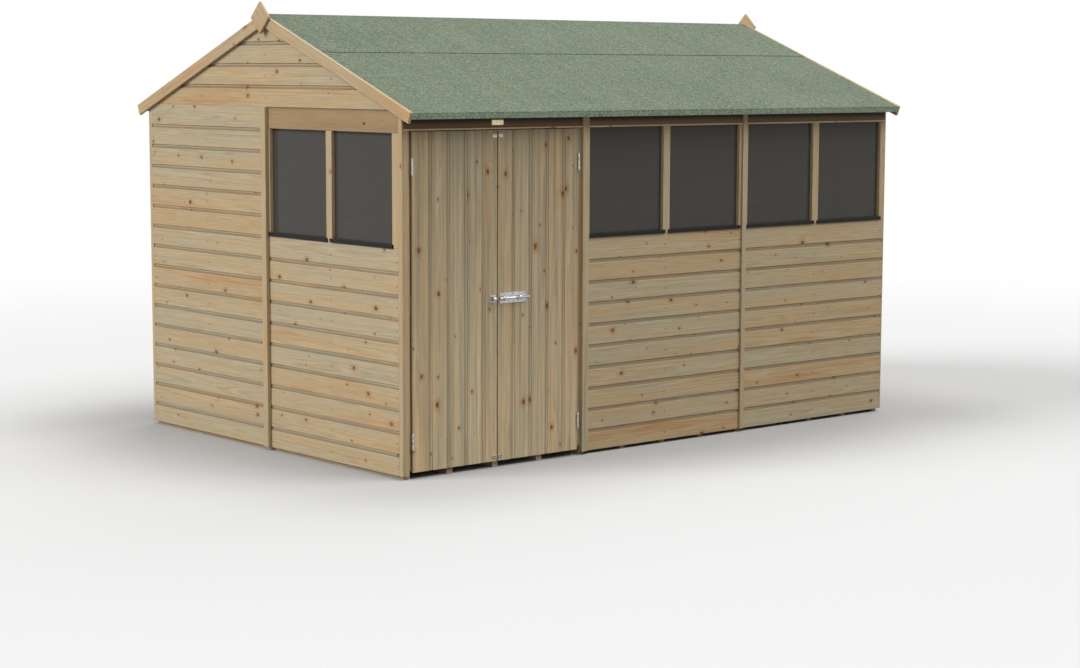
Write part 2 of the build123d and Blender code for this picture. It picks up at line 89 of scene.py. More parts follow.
def srgb(red: int, green: int, blue: int) -> Colour:
    """Linear colour of a screen colour.

    Args:
        red: Red from 0 to 255.
        green: Green from 0 to 255.
        blue: Blue from 0 to 255.

    Returns:
        The colour in linear light, opaque.
    """
    linear = []
    for level in (red, green, blue):
        share = level / 255
        linear.append(share / 12.92 if share <= 0.04045 else ((share + 0.055) / 1.055) ** 2.4)
    return (linear[0], linear[1], linear[2], 1.0)


class Signal:
    """An output of a shader node that takes part in Python sums."""

    def __init__(self, graph: "ShaderGraph", socket: bpy.types.NodeSocket) -> None:
        """Keeps the output and the graph that it belongs to."""
        self.graph = graph
        self.socket = socket

    def __add__(self, other: "Value") -> "Signal":
        """Sum of two values."""
        return self.graph.math("ADD", self, other)

    __radd__ = __add__

    def __sub__(self, other: "Value") -> "Signal":
        """Difference of two values."""
        return self.graph.math("SUBTRACT", self, other)

    def __rsub__(self, other: "Value") -> "Signal":
        """Difference of a number and this value."""
        return self.graph.math("SUBTRACT", other, self)

    def __mul__(self, other: "Value") -> "Signal":
        """Product of two values."""
        return self.graph.math("MULTIPLY", self, other)

    def __truediv__(self, other: "Value") -> "Signal":
        """Quotient of two values."""
        return self.graph.math("DIVIDE", self, other)

    def root(self) -> "Signal":
        """Square root."""
        return self.graph.math("SQRT", self)

    def fraction(self) -> "Signal":
        """What is left over a whole number."""
        return self.graph.math("FRACT", self)

    def below(self, limit: "Value") -> "Signal":
        """One where the value is under a limit, and zero elsewhere."""
        return self.graph.math("LESS_THAN", self, limit)

    def larger(self, other: "Value") -> "Signal":
        """The larger of two values."""
        return self.graph.math("MAXIMUM", self, other)

    def smaller(self, other: "Value") -> "Signal":
        """The smaller of two values."""
        return self.graph.math("MINIMUM", self, other)

    def size(self) -> "Signal":
        """The value without its sign."""
        return self.graph.math("ABSOLUTE", self)

    def ease(self, low: "Value", high: "Value") -> "Signal":
        """Smooth step from zero at a low value to one at a high value."""
        settings = {"interpolation_type": "SMOOTHSTEP"}
        sockets = {"Value": self, "From Min": low, "From Max": high}
        return self.graph.add("ShaderNodeMapRange", settings, sockets)["Result"]


Value = Union[Signal, float, Colour]


class Outputs:
    """The outputs of one node, by name or number."""

    def __init__(self, graph: "ShaderGraph", node: bpy.types.Node) -> None:
        """Keeps the node."""
        self.graph = graph
        self.node = node

    def __getitem__(self, key: Key) -> Signal:
        """One output."""
        return Signal(self.graph, self.node.outputs[key])


class ShaderGraph:
    """Nodes of one material or world."""

    def __init__(self, tree: bpy.types.NodeTree) -> None:
        """Starts an empty graph."""
        self.tree = tree
        tree.nodes.clear()

    def add(
        self,
        kind: str,
        settings: Optional[Dict[str, object]] = None,
        sockets: Optional[Dict[Key, Value]] = None,
    ) -> Outputs:
        """Adds a node.

        Args:
            kind: The node's type.
            settings: Its properties, or the stops of its colour ramp, set first.
            sockets: Values or signals for its inputs, by name or number.

        Returns:
            The node's outputs.
        """
        node = self.tree.nodes.new(kind)
        for name, setting in (settings or {}).items():
            if name == "stops":
                self._set_stops(node.color_ramp, setting)
            else:
                setattr(node, name, setting)
        for key, value in (sockets or {}).items():
            if isinstance(value, Signal):
                self.tree.links.new(value.socket, node.inputs[key])
            else:
                node.inputs[key].default_value = value
        return Outputs(self, node)

    @staticmethod
    def _set_stops(ramp: bpy.types.ColorRamp, stops: Stops) -> None:
        """Puts colours on a ramp."""
        while len(ramp.elements) < len(stops):
            ramp.elements.new(1.0)
        for element, (place, colour) in zip(ramp.elements, stops):
            element.position = place
            element.color = colour

    def math(self, operation: str, first: Value, second: Value = 0.0) -> Signal:
        """Adds a Math node."""
        return self.add("ShaderNodeMath", {"operation": operation}, {0: first, 1: second})["Value"]

    def split(self, vector: Signal) -> List[Signal]:
        """The three parts of a vector or colour."""
        parts = self.add("ShaderNodeSeparateXYZ", {}, {"Vector": vector})
        return [parts[index] for index in range(3)]

    def join(self, first: Value, second: Value, third: Value) -> Signal:
        """Vector of three values."""
        return self.add("ShaderNodeCombineXYZ", {}, {0: first, 1: second, 2: third})["Vector"]

    def noise(self, place: Signal, scale: float, detail: float = 2.0) -> Signal:
        """Soft noise around a half."""
        sockets = {"Vector": place, "Scale": scale, "Detail": detail}
        return self.add("ShaderNodeTexNoise", {}, sockets)["Fac"]

    def streaks(self, parts: Sequence[Signal], counts: Triple, detail: float = 2.0) -> Signal:
        """Soft noise with its own count to the metre in each direction."""
        drawn = [part * count for part, count in zip(parts, counts)]
        return self.noise(self.join(*drawn), 1.0, detail)

    def cells(self, place: Signal, count: float, dimensions: str = "3D") -> Outputs:
        """Cells round scattered points."""
        settings = {"voronoi_dimensions": dimensions}
        return self.add("ShaderNodeTexVoronoi", settings, {"Vector": place, "Scale": count})

    def attribute(self, name: str) -> Outputs:
        """A value that the mesh keeps."""
        return self.add("ShaderNodeAttribute", {"attribute_name": name})

    def place(self) -> Signal:
        """Place in the piece's own frame."""
        return self.add("ShaderNodeTexCoord")["Object"]

    def seen(self) -> Signal:
        """One where the camera looks, straight, by reflection or through glass."""
        path = self.add("ShaderNodeLightPath")
        direct = path["Is Camera Ray"].larger(path["Is Glossy Ray"])
        return direct.larger(path["Is Transmission Ray"])

    def blend(self, share: Value, first: Value, second: Value) -> Signal:
        """Colour between two colours."""
        return self.add("ShaderNodeMix", {"data_type": "RGBA"}, {0: share, 6: first, 7: second})[2]

    def dim(self, colour: Signal, level: Value) -> Signal:
        """Colour made lighter or darker."""
        sockets = {0: colour, "Scale": level}
        return self.add("ShaderNodeVectorMath", {"operation": "SCALE"}, sockets)["Vector"]

    def ramp(self, share: Signal, stops: Stops) -> Signal:
        """Colour from a ramp."""
        return self.add("ShaderNodeValToRGB", {"stops": stops}, {"Fac": share})["Color"]

    def bump(self, height: Signal, strength: float, distance: float) -> Signal:
        """Normal of a relief."""
        sockets = {"Strength": strength, "Distance": distance, "Height": height}
        return self.add("ShaderNodeBump", {}, sockets)["Normal"]

    def surface(self, sockets: Dict[Key, Value]) -> None:
        """Ends the graph in a Principled surface."""
        shader = self.add("ShaderNodeBsdfPrincipled", {}, sockets)
        self.add("ShaderNodeOutputMaterial", {}, {"Surface": shader["BSDF"]})


@dataclass(frozen=True)
class Finish:
    """A surface of the shed.

    Attributes:
        name: Name of the material.
    """

    name: str

    def material(self) -> bpy.types.Material:
        """The finish as a material, made once.

        Returns:
            The material.
        """
        made = bpy.data.materials.get(self.name)
        if made is None:
            made = bpy.data.materials.new(self.name)
            made.use_nodes = True
            self.paint(ShaderGraph(made.node_tree))
        return made

    def paint(self, graph: ShaderGraph) -> None:
        """Adds the finish's nodes to a graph."""
        raise NotImplementedError


@dataclass(frozen=True)
class TimberFinish(Finish):
    """Planed softwood with growth rings, streaks and knots along each stick's own grain.

    Attributes:
        tones: Colour stops from the palest to the warmest wood.
        tone_range: Tones that the sticks are drawn from.
        streak_depth: How far broad and narrow streaks move the tone within a stick.
        streak_count: Narrow streaks to the metre.
        streak_shade: How much narrow streaks lighten and darken the wood.
        ring_pitch: Width of a growth ring.
        ring_depth: How much late wood darkens a ring.
        knot_pitch: Spacing of knots along and across the grain.
        knot_share: Share of the places that have a knot.
        knot_radius: Radius of the smallest and the largest knot.
        late_colour: Colour of late wood.
        halo_colour: Colour of the wood round a knot.
        core_colours: Colours of a fresh and of a dead knot.
        painted_shade_depth: How much painted shade darkens the boards' hollows and the head boards'
            upper parts.
        eaves_shade_depth: How much painted shade darkens the boards' heads under the eaves and painted
            light lightens their feet.
        nailed: Whether the boards are stained round their nails.
        stain_radius: How far a nail's stain reaches.
        stain_colour: Colour of the stain.
        stain_depth: How strong the stain is.
        stain_edge: Shares of its reach between which the stain fades.
        smudge_counts: Smudges to the metre along a board, up it and from board to board.
        smudge_reach: How far the smudges move the stain's edge.
        wander_counts: Waves to the metre that the rings wander in, along and across the grain.
        wander_reach: How far the rings wander.
        ring_lean: How far the rings shift in a metre along the grain.
        late_rise: Shares of a ring between which late wood sets in.
        late_fall: Shares of a ring between which late wood ends.
        broad_counts: Broad streaks to the metre, along and across the grain.
        streak_run: Narrow streaks to the metre along the grain.
        fibre_counts: Fibres to the metre, along and across the grain.
        fibre_shade: How much fibres lighten and darken the wood.
        halo_depth: How strong the colour round a knot is.
        core_depth: How strong a knot's own colour is.
        knot_stretch: Width of a knot to its length.
        core_edge: Radii between which a knot ends.
        halo_edge: Radii between which the colour round a knot fades.
        swirl_edge: Radii between which the rings come back into line.
        swirl_push: How far a knot pushes the rings, to its radius.
        bark_count: Waves to the metre of a knot's outline.
        bark_reach: How far the waves move the outline.
        roughness: Roughness of the smoothest wood, and how much the streaks add.
        late_height: Height of late wood in the relief.
        fibre_height: Height of fibres in the relief.
        core_height: How deep a knot lies in the relief.
    """

    tones: Tuple[Tuple[float, Colour], ...] = (
        (0.0, srgb(182, 171, 142)),
        (0.35, srgb(189, 170, 135)),
        (0.7, srgb(191, 163, 122)),
        (1.0, srgb(183, 144, 100)),
    )
    tone_range: Pair = (0.05, 0.68)
    streak_depth: Pair = (1.5, 1.5)
    streak_count: float = 84.0
    streak_shade: float = 0.4
    ring_pitch: float = 0.007
    ring_depth: float = 0.3
    knot_pitch: Pair = (0.3, 0.08)
    knot_share: float = 0.5
    knot_radius: Pair = (0.0025, 0.01)
    late_colour: Colour = srgb(156, 124, 84)
    halo_colour: Colour = srgb(172, 128, 82)
    core_colours: Tuple[Colour, Colour] = (srgb(120, 80, 46), srgb(66, 48, 32))
    painted_shade_depth: float = 0.0
    eaves_shade_depth: float = 0.0
    nailed: bool = False
    stain_radius: float = 0.009
    stain_colour: Colour = srgb(128, 94, 60)
    stain_depth: float = 0.5
    stain_edge: Pair = (0.12, 1.0)
    smudge_counts: Triple = (60.0, 60.0, 9.0)
    smudge_reach: float = 0.5
    wander_counts: Triple = (1.1, 9.0, 9.0)
    wander_reach: float = 0.03
    ring_lean: float = 0.004
    late_rise: Pair = (0.15, 0.8)
    late_fall: Pair = (0.86, 1.0)
    broad_counts: Triple = (1.3, 15.0, 15.0)
    streak_run: float = 0.9
    fibre_counts: Triple = (7.0, 230.0, 230.0)
    fibre_shade: float = 0.6
    halo_depth: float = 0.6
    core_depth: float = 0.9
    knot_stretch: float = 0.7
    core_edge: Pair = (0.7, 1.2)
    halo_edge: Pair = (0.9, 3.4)
    swirl_edge: Pair = (0.4, 4.5)
    swirl_push: float = 1.8
    bark_count: float = 90.0
    bark_reach: float = 1.4
    roughness: Pair = (0.6, 0.2)
    late_height: float = 0.5
    fibre_height: float = 0.5
    core_height: float = 0.3

    def paint(self, graph: ShaderGraph) -> None:
        """Adds the wood's nodes to a graph."""
        tone = graph.attribute(TONE)["Fac"]
        parts = graph.split(graph.attribute(GRAIN)["Vector"])
        along, across, through = parts
        core, halo, swirl, age = self._knots(graph, along, across)
        wander = graph.streaks(parts, self.wander_counts) - NOISE_MIDDLE
        radial = (across * across + through * through).root() + wander * self.wander_reach
        ring = ((radial + swirl + along * self.ring_lean) / self.ring_pitch).fraction()
        late = ring.ease(*self.late_rise) * (1 - ring.ease(*self.late_fall))
        broad = graph.streaks(parts, self.broad_counts) - NOISE_MIDDLE
        lines = (self.streak_run, self.streak_count, self.streak_count)
        streak = graph.streaks(parts, lines, detail=4.0)
        sway = streak - NOISE_MIDDLE
        fibre = graph.streaks(parts, self.fibre_counts, detail=4.0)
        shift = broad * self.streak_depth[0] + sway * self.streak_depth[1]
        colour = graph.ramp(tone + shift, self.tones)
        colour = graph.blend(late * self.ring_depth, colour, self.late_colour)
        colour = graph.blend(halo * self.halo_depth, colour, self.halo_colour)
        colour = graph.blend(core * self.core_depth, colour, graph.blend(age, *self.core_colours))
        if self.nailed:
            colour = graph.blend(self._stains(graph) * self.stain_depth, colour, self.stain_colour)
        level = (1 - self.fibre_shade / 2) + fibre * self.fibre_shade + sway * self.streak_shade
        # Painted shade, where the next board's lip or the eaves shade the wood.
        if self.painted_shade_depth:
            level = level * (1 - graph.attribute(PAINTED_SHADE)["Fac"] * self.painted_shade_depth)
        # Painted shade and light: boards darker at their heads under the eaves and paler at their
        # feet.
        if self.eaves_shade_depth:
            bleach = graph.attribute(EAVES_SHADE)["Fac"] * (2 * self.eaves_shade_depth)
            level = level * (1 - self.eaves_shade_depth + bleach)
        relief = late * self.late_height + fibre * self.fibre_height - core * self.core_height
        smooth, rough = self.roughness
        graph.surface(
            {
                "Base Color": graph.dim(colour, level),
                "Roughness": smooth + streak * rough,
                "Specular IOR Level": 0.3,
                "Normal": graph.bump(relief, strength=0.35, distance=0.0006),
            }
        )

    def _stains(self, graph: ShaderGraph) -> Signal:
        """Stains round the nails, from each board's distance to its middle and its ends."""
        parts = graph.split(graph.attribute(FIXING)["Vector"])
        off, up, half = parts
        aside = off.size().smaller((off.size() - half).size())
        smudge = graph.streaks(parts, self.smudge_counts) - NOISE_MIDDLE
        reach = (aside * aside + up * up).root() / self.stain_radius + smudge * self.smudge_reach
        return 1 - reach.ease(*self.stain_edge)

    def _knots(self, graph: ShaderGraph, along: Signal, across: Signal) -> Tuple[Signal, ...]:
        """Knots scattered over the boards.

        Args:
            graph: The material's graph.
            along: Place along the grain.
            across: Place across the grain.

        Returns:
            The knot itself, the stained wood round it, how far it pushes the rings, and its age.
        """
        pitch_along, pitch_across = self.knot_pitch
        place_along = along / pitch_along
        place_across = across / pitch_across
        site = graph.cells(graph.join(place_along, place_across, 0.0), 1.0, dimensions="2D")
        site_along, site_across, _ = graph.split(site["Position"])
        size, age, keep = graph.split(site["Color"])
        off_along = (place_along - site_along) * (pitch_along * self.knot_stretch)
        off_across = (place_across - site_across) * pitch_across
        small, large = self.knot_radius
        radius = small + size * size * (large - small)
        outline = graph.join(along * self.bark_count, across * self.bark_count, 0.0)
        bark = (graph.noise(outline, 1.0) - NOISE_MIDDLE) * self.bark_reach
        reach = (off_along * off_along + off_across * off_across).root() / radius + bark
        edges = (self.core_edge, self.halo_edge, self.swirl_edge)
        present = keep.below(self.knot_share)
        core, halo, swirl = [(1 - reach.ease(*edge)) * present for edge in edges]
        return core, halo, swirl * radius * self.swirl_push, age


@dataclass(frozen=True)
class FeltFinish(Finish):
    """Roofing felt with mineral granules.

    Attributes:
        dark: Colour of the darkest granules.
        light: Colour of the palest granules.
        fold_light_gain: How much paler the felt is painted where it turns down over the eaves: painted
            light on the downturned face, which gets less light than the slope.
        granule_count: Granules to the metre.
        speckle_count: Speckles to the metre.
        mottle_count: Large patches to the metre.
        run_counts: Streaks that the rain leaves to the metre, in each direction.
        pale_shares: How much granules, speckles, patches and streaks make the felt paler.
        pale_start: What is taken off their sum.
        relief_shares: Height of granules and of speckles in the relief.
        roughness: Roughness of the smoothest felt, and how much the granules add.
    """

    dark: Colour = srgb(62, 75, 59)
    light: Colour = srgb(134, 145, 126)
    fold_light_gain: float = 1.5
    granule_count: float = 150.0
    speckle_count: float = 70.0
    mottle_count: float = 2.4
    run_counts: Triple = (16.0, 1.4, 1.4)
    pale_shares: Tuple[float, float, float, float] = (0.5, 0.8, 0.2, 0.2)
    pale_start: float = 0.35
    relief_shares: Pair = (0.6, 0.4)
    roughness: Pair = (0.82, 0.14)

    def paint(self, graph: ShaderGraph) -> None:
        """Adds the felt's nodes to a graph."""
        place = graph.place()
        granule = graph.split(graph.cells(place, self.granule_count)["Color"])[0]
        speckle = graph.noise(place, self.speckle_count)
        mottle = graph.noise(place, self.mottle_count, detail=4.0)
        runs = graph.streaks(graph.split(place), self.run_counts, detail=3.0)
        marks = zip((granule, speckle, mottle, runs), self.pale_shares)
        first, second, third, fourth = [mark * share for mark, share in marks]
        colour = graph.blend(first + second + third + fourth - self.pale_start, self.dark, self.light)
        # Painted light: the felt turned down over the eaves is paler, since that face gets less light.
        worn = graph.attribute(FOLD_LIGHT)["Fac"]
        relief = granule * self.relief_shares[0] + speckle * self.relief_shares[1]
        smooth, rough = self.roughness
        graph.surface(
            {
                "Base Color": graph.dim(colour, 1 + worn * self.fold_light_gain),
                "Roughness": smooth + granule * rough,
                "Specular IOR Level": 0.06,
                "Normal": graph.bump(relief, strength=0.6, distance=0.001),
            }
        )


@dataclass(frozen=True)
class PaneFinish(Finish):
    """Glazing that looks dark from outside, through a grey sheet that is painted shade and painted
    reflection.

    Attributes:
        painted_tint: Grey of the sheet, standing in for the shaded inside of the shed and for part of
            the glass's reflection.
        cover: How much of what is behind it the sheet hides.
        smear_count: Smears to the metre.
        roughness: Roughness of the clean sheet, and how much the smears add.
    """

    painted_tint: Colour = srgb(84, 81, 75)
    cover: float = 0.65
    smear_count: float = 3.0
    roughness: Pair = (0.03, 0.04)

    def paint(self, graph: ShaderGraph) -> None:
        """Adds the glazing's nodes to a graph."""
        smear = graph.noise(graph.place(), self.smear_count, detail=3.0)
        smooth, rough = self.roughness
        # Painted shade and reflection: the grey sheet and its cover stand in for the dark inside and
        # the reflection of clear glass.
        graph.surface(
            {
                "Base Color": self.painted_tint,
                "Roughness": smooth + smear * rough,
                "IOR": 1.3,
                "Alpha": self.cover,
            }
        )


@dataclass(frozen=True)
class MetalFinish(Finish):
    """Plated metal with a faint spangle.

    Attributes:
        colour: Colour of the brightest flake.
        dull: Colour of the dullest flake.
        spangle: Flakes to the metre.
        roughness: Roughness of the dullest flake.
        polish: How much smoother the brightest flake is.
        scuff_count: Scuffs to the metre.
    """

    colour: Colour = srgb(206, 207, 207)
    dull: Colour = srgb(152, 154, 154)
    spangle: float = 160.0
    roughness: float = 0.48
    polish: float = 0.12
    scuff_count: float = 900.0

    def paint(self, graph: ShaderGraph) -> None:
        """Adds the metal's nodes to a graph."""
        place = graph.place()
        flake = graph.split(graph.cells(place, self.spangle)["Color"])[0]
        scuff = graph.noise(place, self.scuff_count)
        graph.surface(
            {
                "Base Color": graph.blend(flake, self.dull, self.colour),
                "Metallic": 1.0,
                "Roughness": self.roughness - flake * self.polish,
                "Normal": graph.bump(scuff, strength=0.15, distance=0.0002),
            }
        )


@dataclass(frozen=True)
class PlasticFinish(Finish):
    """Extruded black strip.

    Attributes:
        colour: Colour of the plastic.
        line_counts: Lines that the die leaves to the metre, in each direction.
        roughness: Roughness of the smoothest plastic, and how much the lines add.
    """

    colour: Colour = srgb(18, 18, 20)
    line_counts: Triple = (3.0, 3.0, 900.0)
    roughness: Pair = (0.5, 0.2)

    def paint(self, graph: ShaderGraph) -> None:
        """Adds the plastic's nodes to a graph."""
        lines = graph.streaks(graph.split(graph.place()), self.line_counts)
        smooth, rough = self.roughness
        graph.surface(
            {
                "Base Color": self.colour,
                "Roughness": smooth + lines * rough,
                "Specular IOR Level": 0.2,
                "Normal": graph.bump(lines, strength=0.2, distance=0.0003),
            }
        )


class Wood(Enum):
    """The timbers of the shed."""

    # Painted shade in the boards' hollows.
    CLADDING = TimberFinish("cladding_timber", painted_shade_depth=0.54, nailed=True)
    # Painted shade in the hollows and at the heads under the eaves, and painted light at the feet.
    DOOR = TimberFinish(
        "door_timber",
        tone_range=(0.05, 0.42),
        streak_depth=(0.9, 1.0),
        streak_count=42.0,
        streak_shade=1.2,
        knot_share=0.38,
        knot_radius=(0.003, 0.012),
        painted_shade_depth=0.36,
        eaves_shade_depth=0.19,
    )
    TRIM = TimberFinish("trim_timber", tone_range=(0.25, 0.6), knot_share=0.25)
    BARGE = TimberFinish("barge_timber", tone_range=(0.45, 0.65), knot_share=0.25)
    FRAME = TimberFinish("frame_timber", tone_range=(0.35, 0.7), knot_share=0.35)
    # Painted shade along the gable head board's top, under the lowest triangle board.
    HEAD = TimberFinish(
        "head_timber",
        tones=((0.0, srgb(164, 141, 107)), (1.0, srgb(149, 118, 83))),
        knot_share=0.3,
        painted_shade_depth=0.6,
    )
    # Painted shade: a darker copy of the head boards' wood for the front ones, which the eaves shade,
    # with painted shade deepening towards their tops.
    SHADED_HEAD = TimberFinish(
        "shaded_head_timber",
        tones=((0.0, srgb(145, 121, 91)), (1.0, srgb(128, 98, 69))),
        knot_share=0.3,
        painted_shade_depth=0.9,
    )
    # Painted highlight: very pale wood for the beads, standing in for the light caught along the front
    # head boards' lower edge.
    BEAD = TimberFinish("bead_timber", tones=((0.0, srgb(248, 224, 180)), (1.0, srgb(238, 206, 156))))
    FLOOR = TimberFinish("floor_timber", tone_range=(0.3, 0.7))
    ROOF = TimberFinish("roof_timber", tone_range=(0.35, 0.8))


class Coat(Enum):
    """The surfaces of the shed that aren't wood."""

    FELT = FeltFinish("green_felt")
    PANE = PaneFinish("window_pane")
    ZINC = MetalFinish("zinc_plate")
    SCREW = MetalFinish("screw_steel", srgb(72, 72, 70), srgb(46, 46, 44), roughness=0.5)
    NAIL = MetalFinish("nail_steel", srgb(112, 92, 70), srgb(74, 58, 44), roughness=0.6)
    BRASS = MetalFinish("pale_brass", srgb(232, 222, 178), srgb(206, 192, 146), roughness=0.5)
    BLACK_STRIP = PlasticFinish("black_strip")


def add_piece(
    bm: BMesh,
    name: str,
    body: str,
    finish: Finish,
    nodes: Sequence[str] = (),
) -> None:
    """Turns a bmesh into a piece of the shed.

    Args:
        bm: The finished mesh, which is freed.
        name: The piece's name.
        body: The body that it moves with.
        finish: Its surface.
        nodes: The solids that it stands for.
    """
    narrow = []
    for face in bm.faces:
        longest = max(edge.calc_length() for edge in face.edges)
        narrow.append(face.calc_area() < ROUNDING_WIDTH * longest)
    mesh = bpy.data.meshes.new(name)
    bm.to_mesh(mesh)
    bm.free()
    mesh.set_sharp_from_angle(angle=SHARP_ANGLE)
    mesh.polygons.foreach_set("use_smooth", narrow)
    mesh.materials.append(finish.material())
    piece = bpy.data.objects.new(name, mesh)
    bpy.context.scene.collection.objects.link(piece)
    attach(piece, body)
    if nodes:
        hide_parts(*nodes)
    LOG.info("%s on %s: %d faces", name, body, len(mesh.polygons))


def copy_node(node: str) -> BMesh:
    """A solid's mesh, merged and with its flat faces whole.

    Args:
        node: Name of the node.

    Returns:
        The copy.
    """
    bm = bmesh.new()
    bm.from_mesh(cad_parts[node].data)
    bmesh.ops.remove_doubles(bm, verts=bm.verts, dist=MERGE_DISTANCE)
    bmesh.ops.dissolve_limit(bm, angle_limit=FLAT_ANGLE, verts=bm.verts, edges=bm.edges)
    return bm


def bevel(
    bm: BMesh, edges: Sequence[BMEdge], radius: float, segments: int = 2, clamp: bool = False
) -> None:
    """Rounds some edges of a mesh.

    Args:
        bm: The mesh.
        edges: The edges.
        radius: Radius of the rounding.
        segments: Facets of the rounding.
        clamp: Whether roundings stop where they meet.
    """
    bmesh.ops.bevel(
        bm,
        geom=edges,
        offset=radius,
        offset_type="OFFSET",
        affect="EDGES",
        segments=segments,
        profile=0.5,
        material=-1,
        clamp_overlap=clamp,
    )


def round_edges(bm: BMesh, radius: float) -> None:
    """Rounds the sharp edges of a mesh."""
    sharp = [edge for edge in bm.edges if edge.is_manifold and edge.calc_face_angle() > SHARP_ANGLE]
    bevel(bm, sharp, radius, clamp=True)


def cut(
    bm: BMesh, place: Sequence[float], normal: Sequence[float], keep_outer: bool = True
) -> List[BMEdge]:
    """Cuts a mesh with a plane.

    Args:
        bm: The mesh.
        place: A point of the plane.
        normal: The plane's direction.
        keep_outer: Whether the part on the side of the direction stays.

    Returns:
        The edges along the cut.
    """
    made = bmesh.ops.bisect_plane(
        bm,
        geom=bm.verts[:] + bm.edges[:] + bm.faces[:],
        dist=MERGE_DISTANCE,
        plane_co=place,
        plane_no=normal,
        clear_outer=not keep_outer,
    )
    return [part for part in made["geom_cut"] if isinstance(part, BMEdge)]


def steady(direction: Vector) -> Vector:
    """A direction or its opposite, whichever has its first real part positive."""
    lead = next(part for part in direction if abs(part) > direction.length * (1 - TIE_SHARE))
    return direction if lead > 0 else -direction


def place_sum(verts: Sequence[BMVert]) -> List[float]:
    """Sum of the vertices' places, the same in whatever order they come."""
    return [math.fsum(vert.co[axis] for vert in verts) for axis in range(3)]


def islands(bm: BMesh) -> List[List[BMVert]]:
    """The vertices of each separate stick of a mesh."""
    left = set(bm.verts)
    found = []
    while left:
        stack = [left.pop()]
        island = []
        while stack:
            vert = stack.pop()
            island.append(vert)
            for edge in vert.link_edges:
                other = edge.other_vert(vert)
                if other in left:
                    left.remove(other)
                    stack.append(other)
        found.append(island)
    return sorted(found, key=lambda verts: [round(part, 4) for part in place_sum(verts)])


def solid_boxes(node: str) -> List[Box]:
    """The lowest and highest corners of each solid of a node."""
    bm = copy_node(node)
    boxes = []
    for island in islands(bm):
        low = Vector([min(vert.co[axis] for vert in island) for axis in range(3)])
        high = Vector([max(vert.co[axis] for vert in island) for axis in range(3)])
        boxes.append((low, high))
    bm.free()
    return boxes


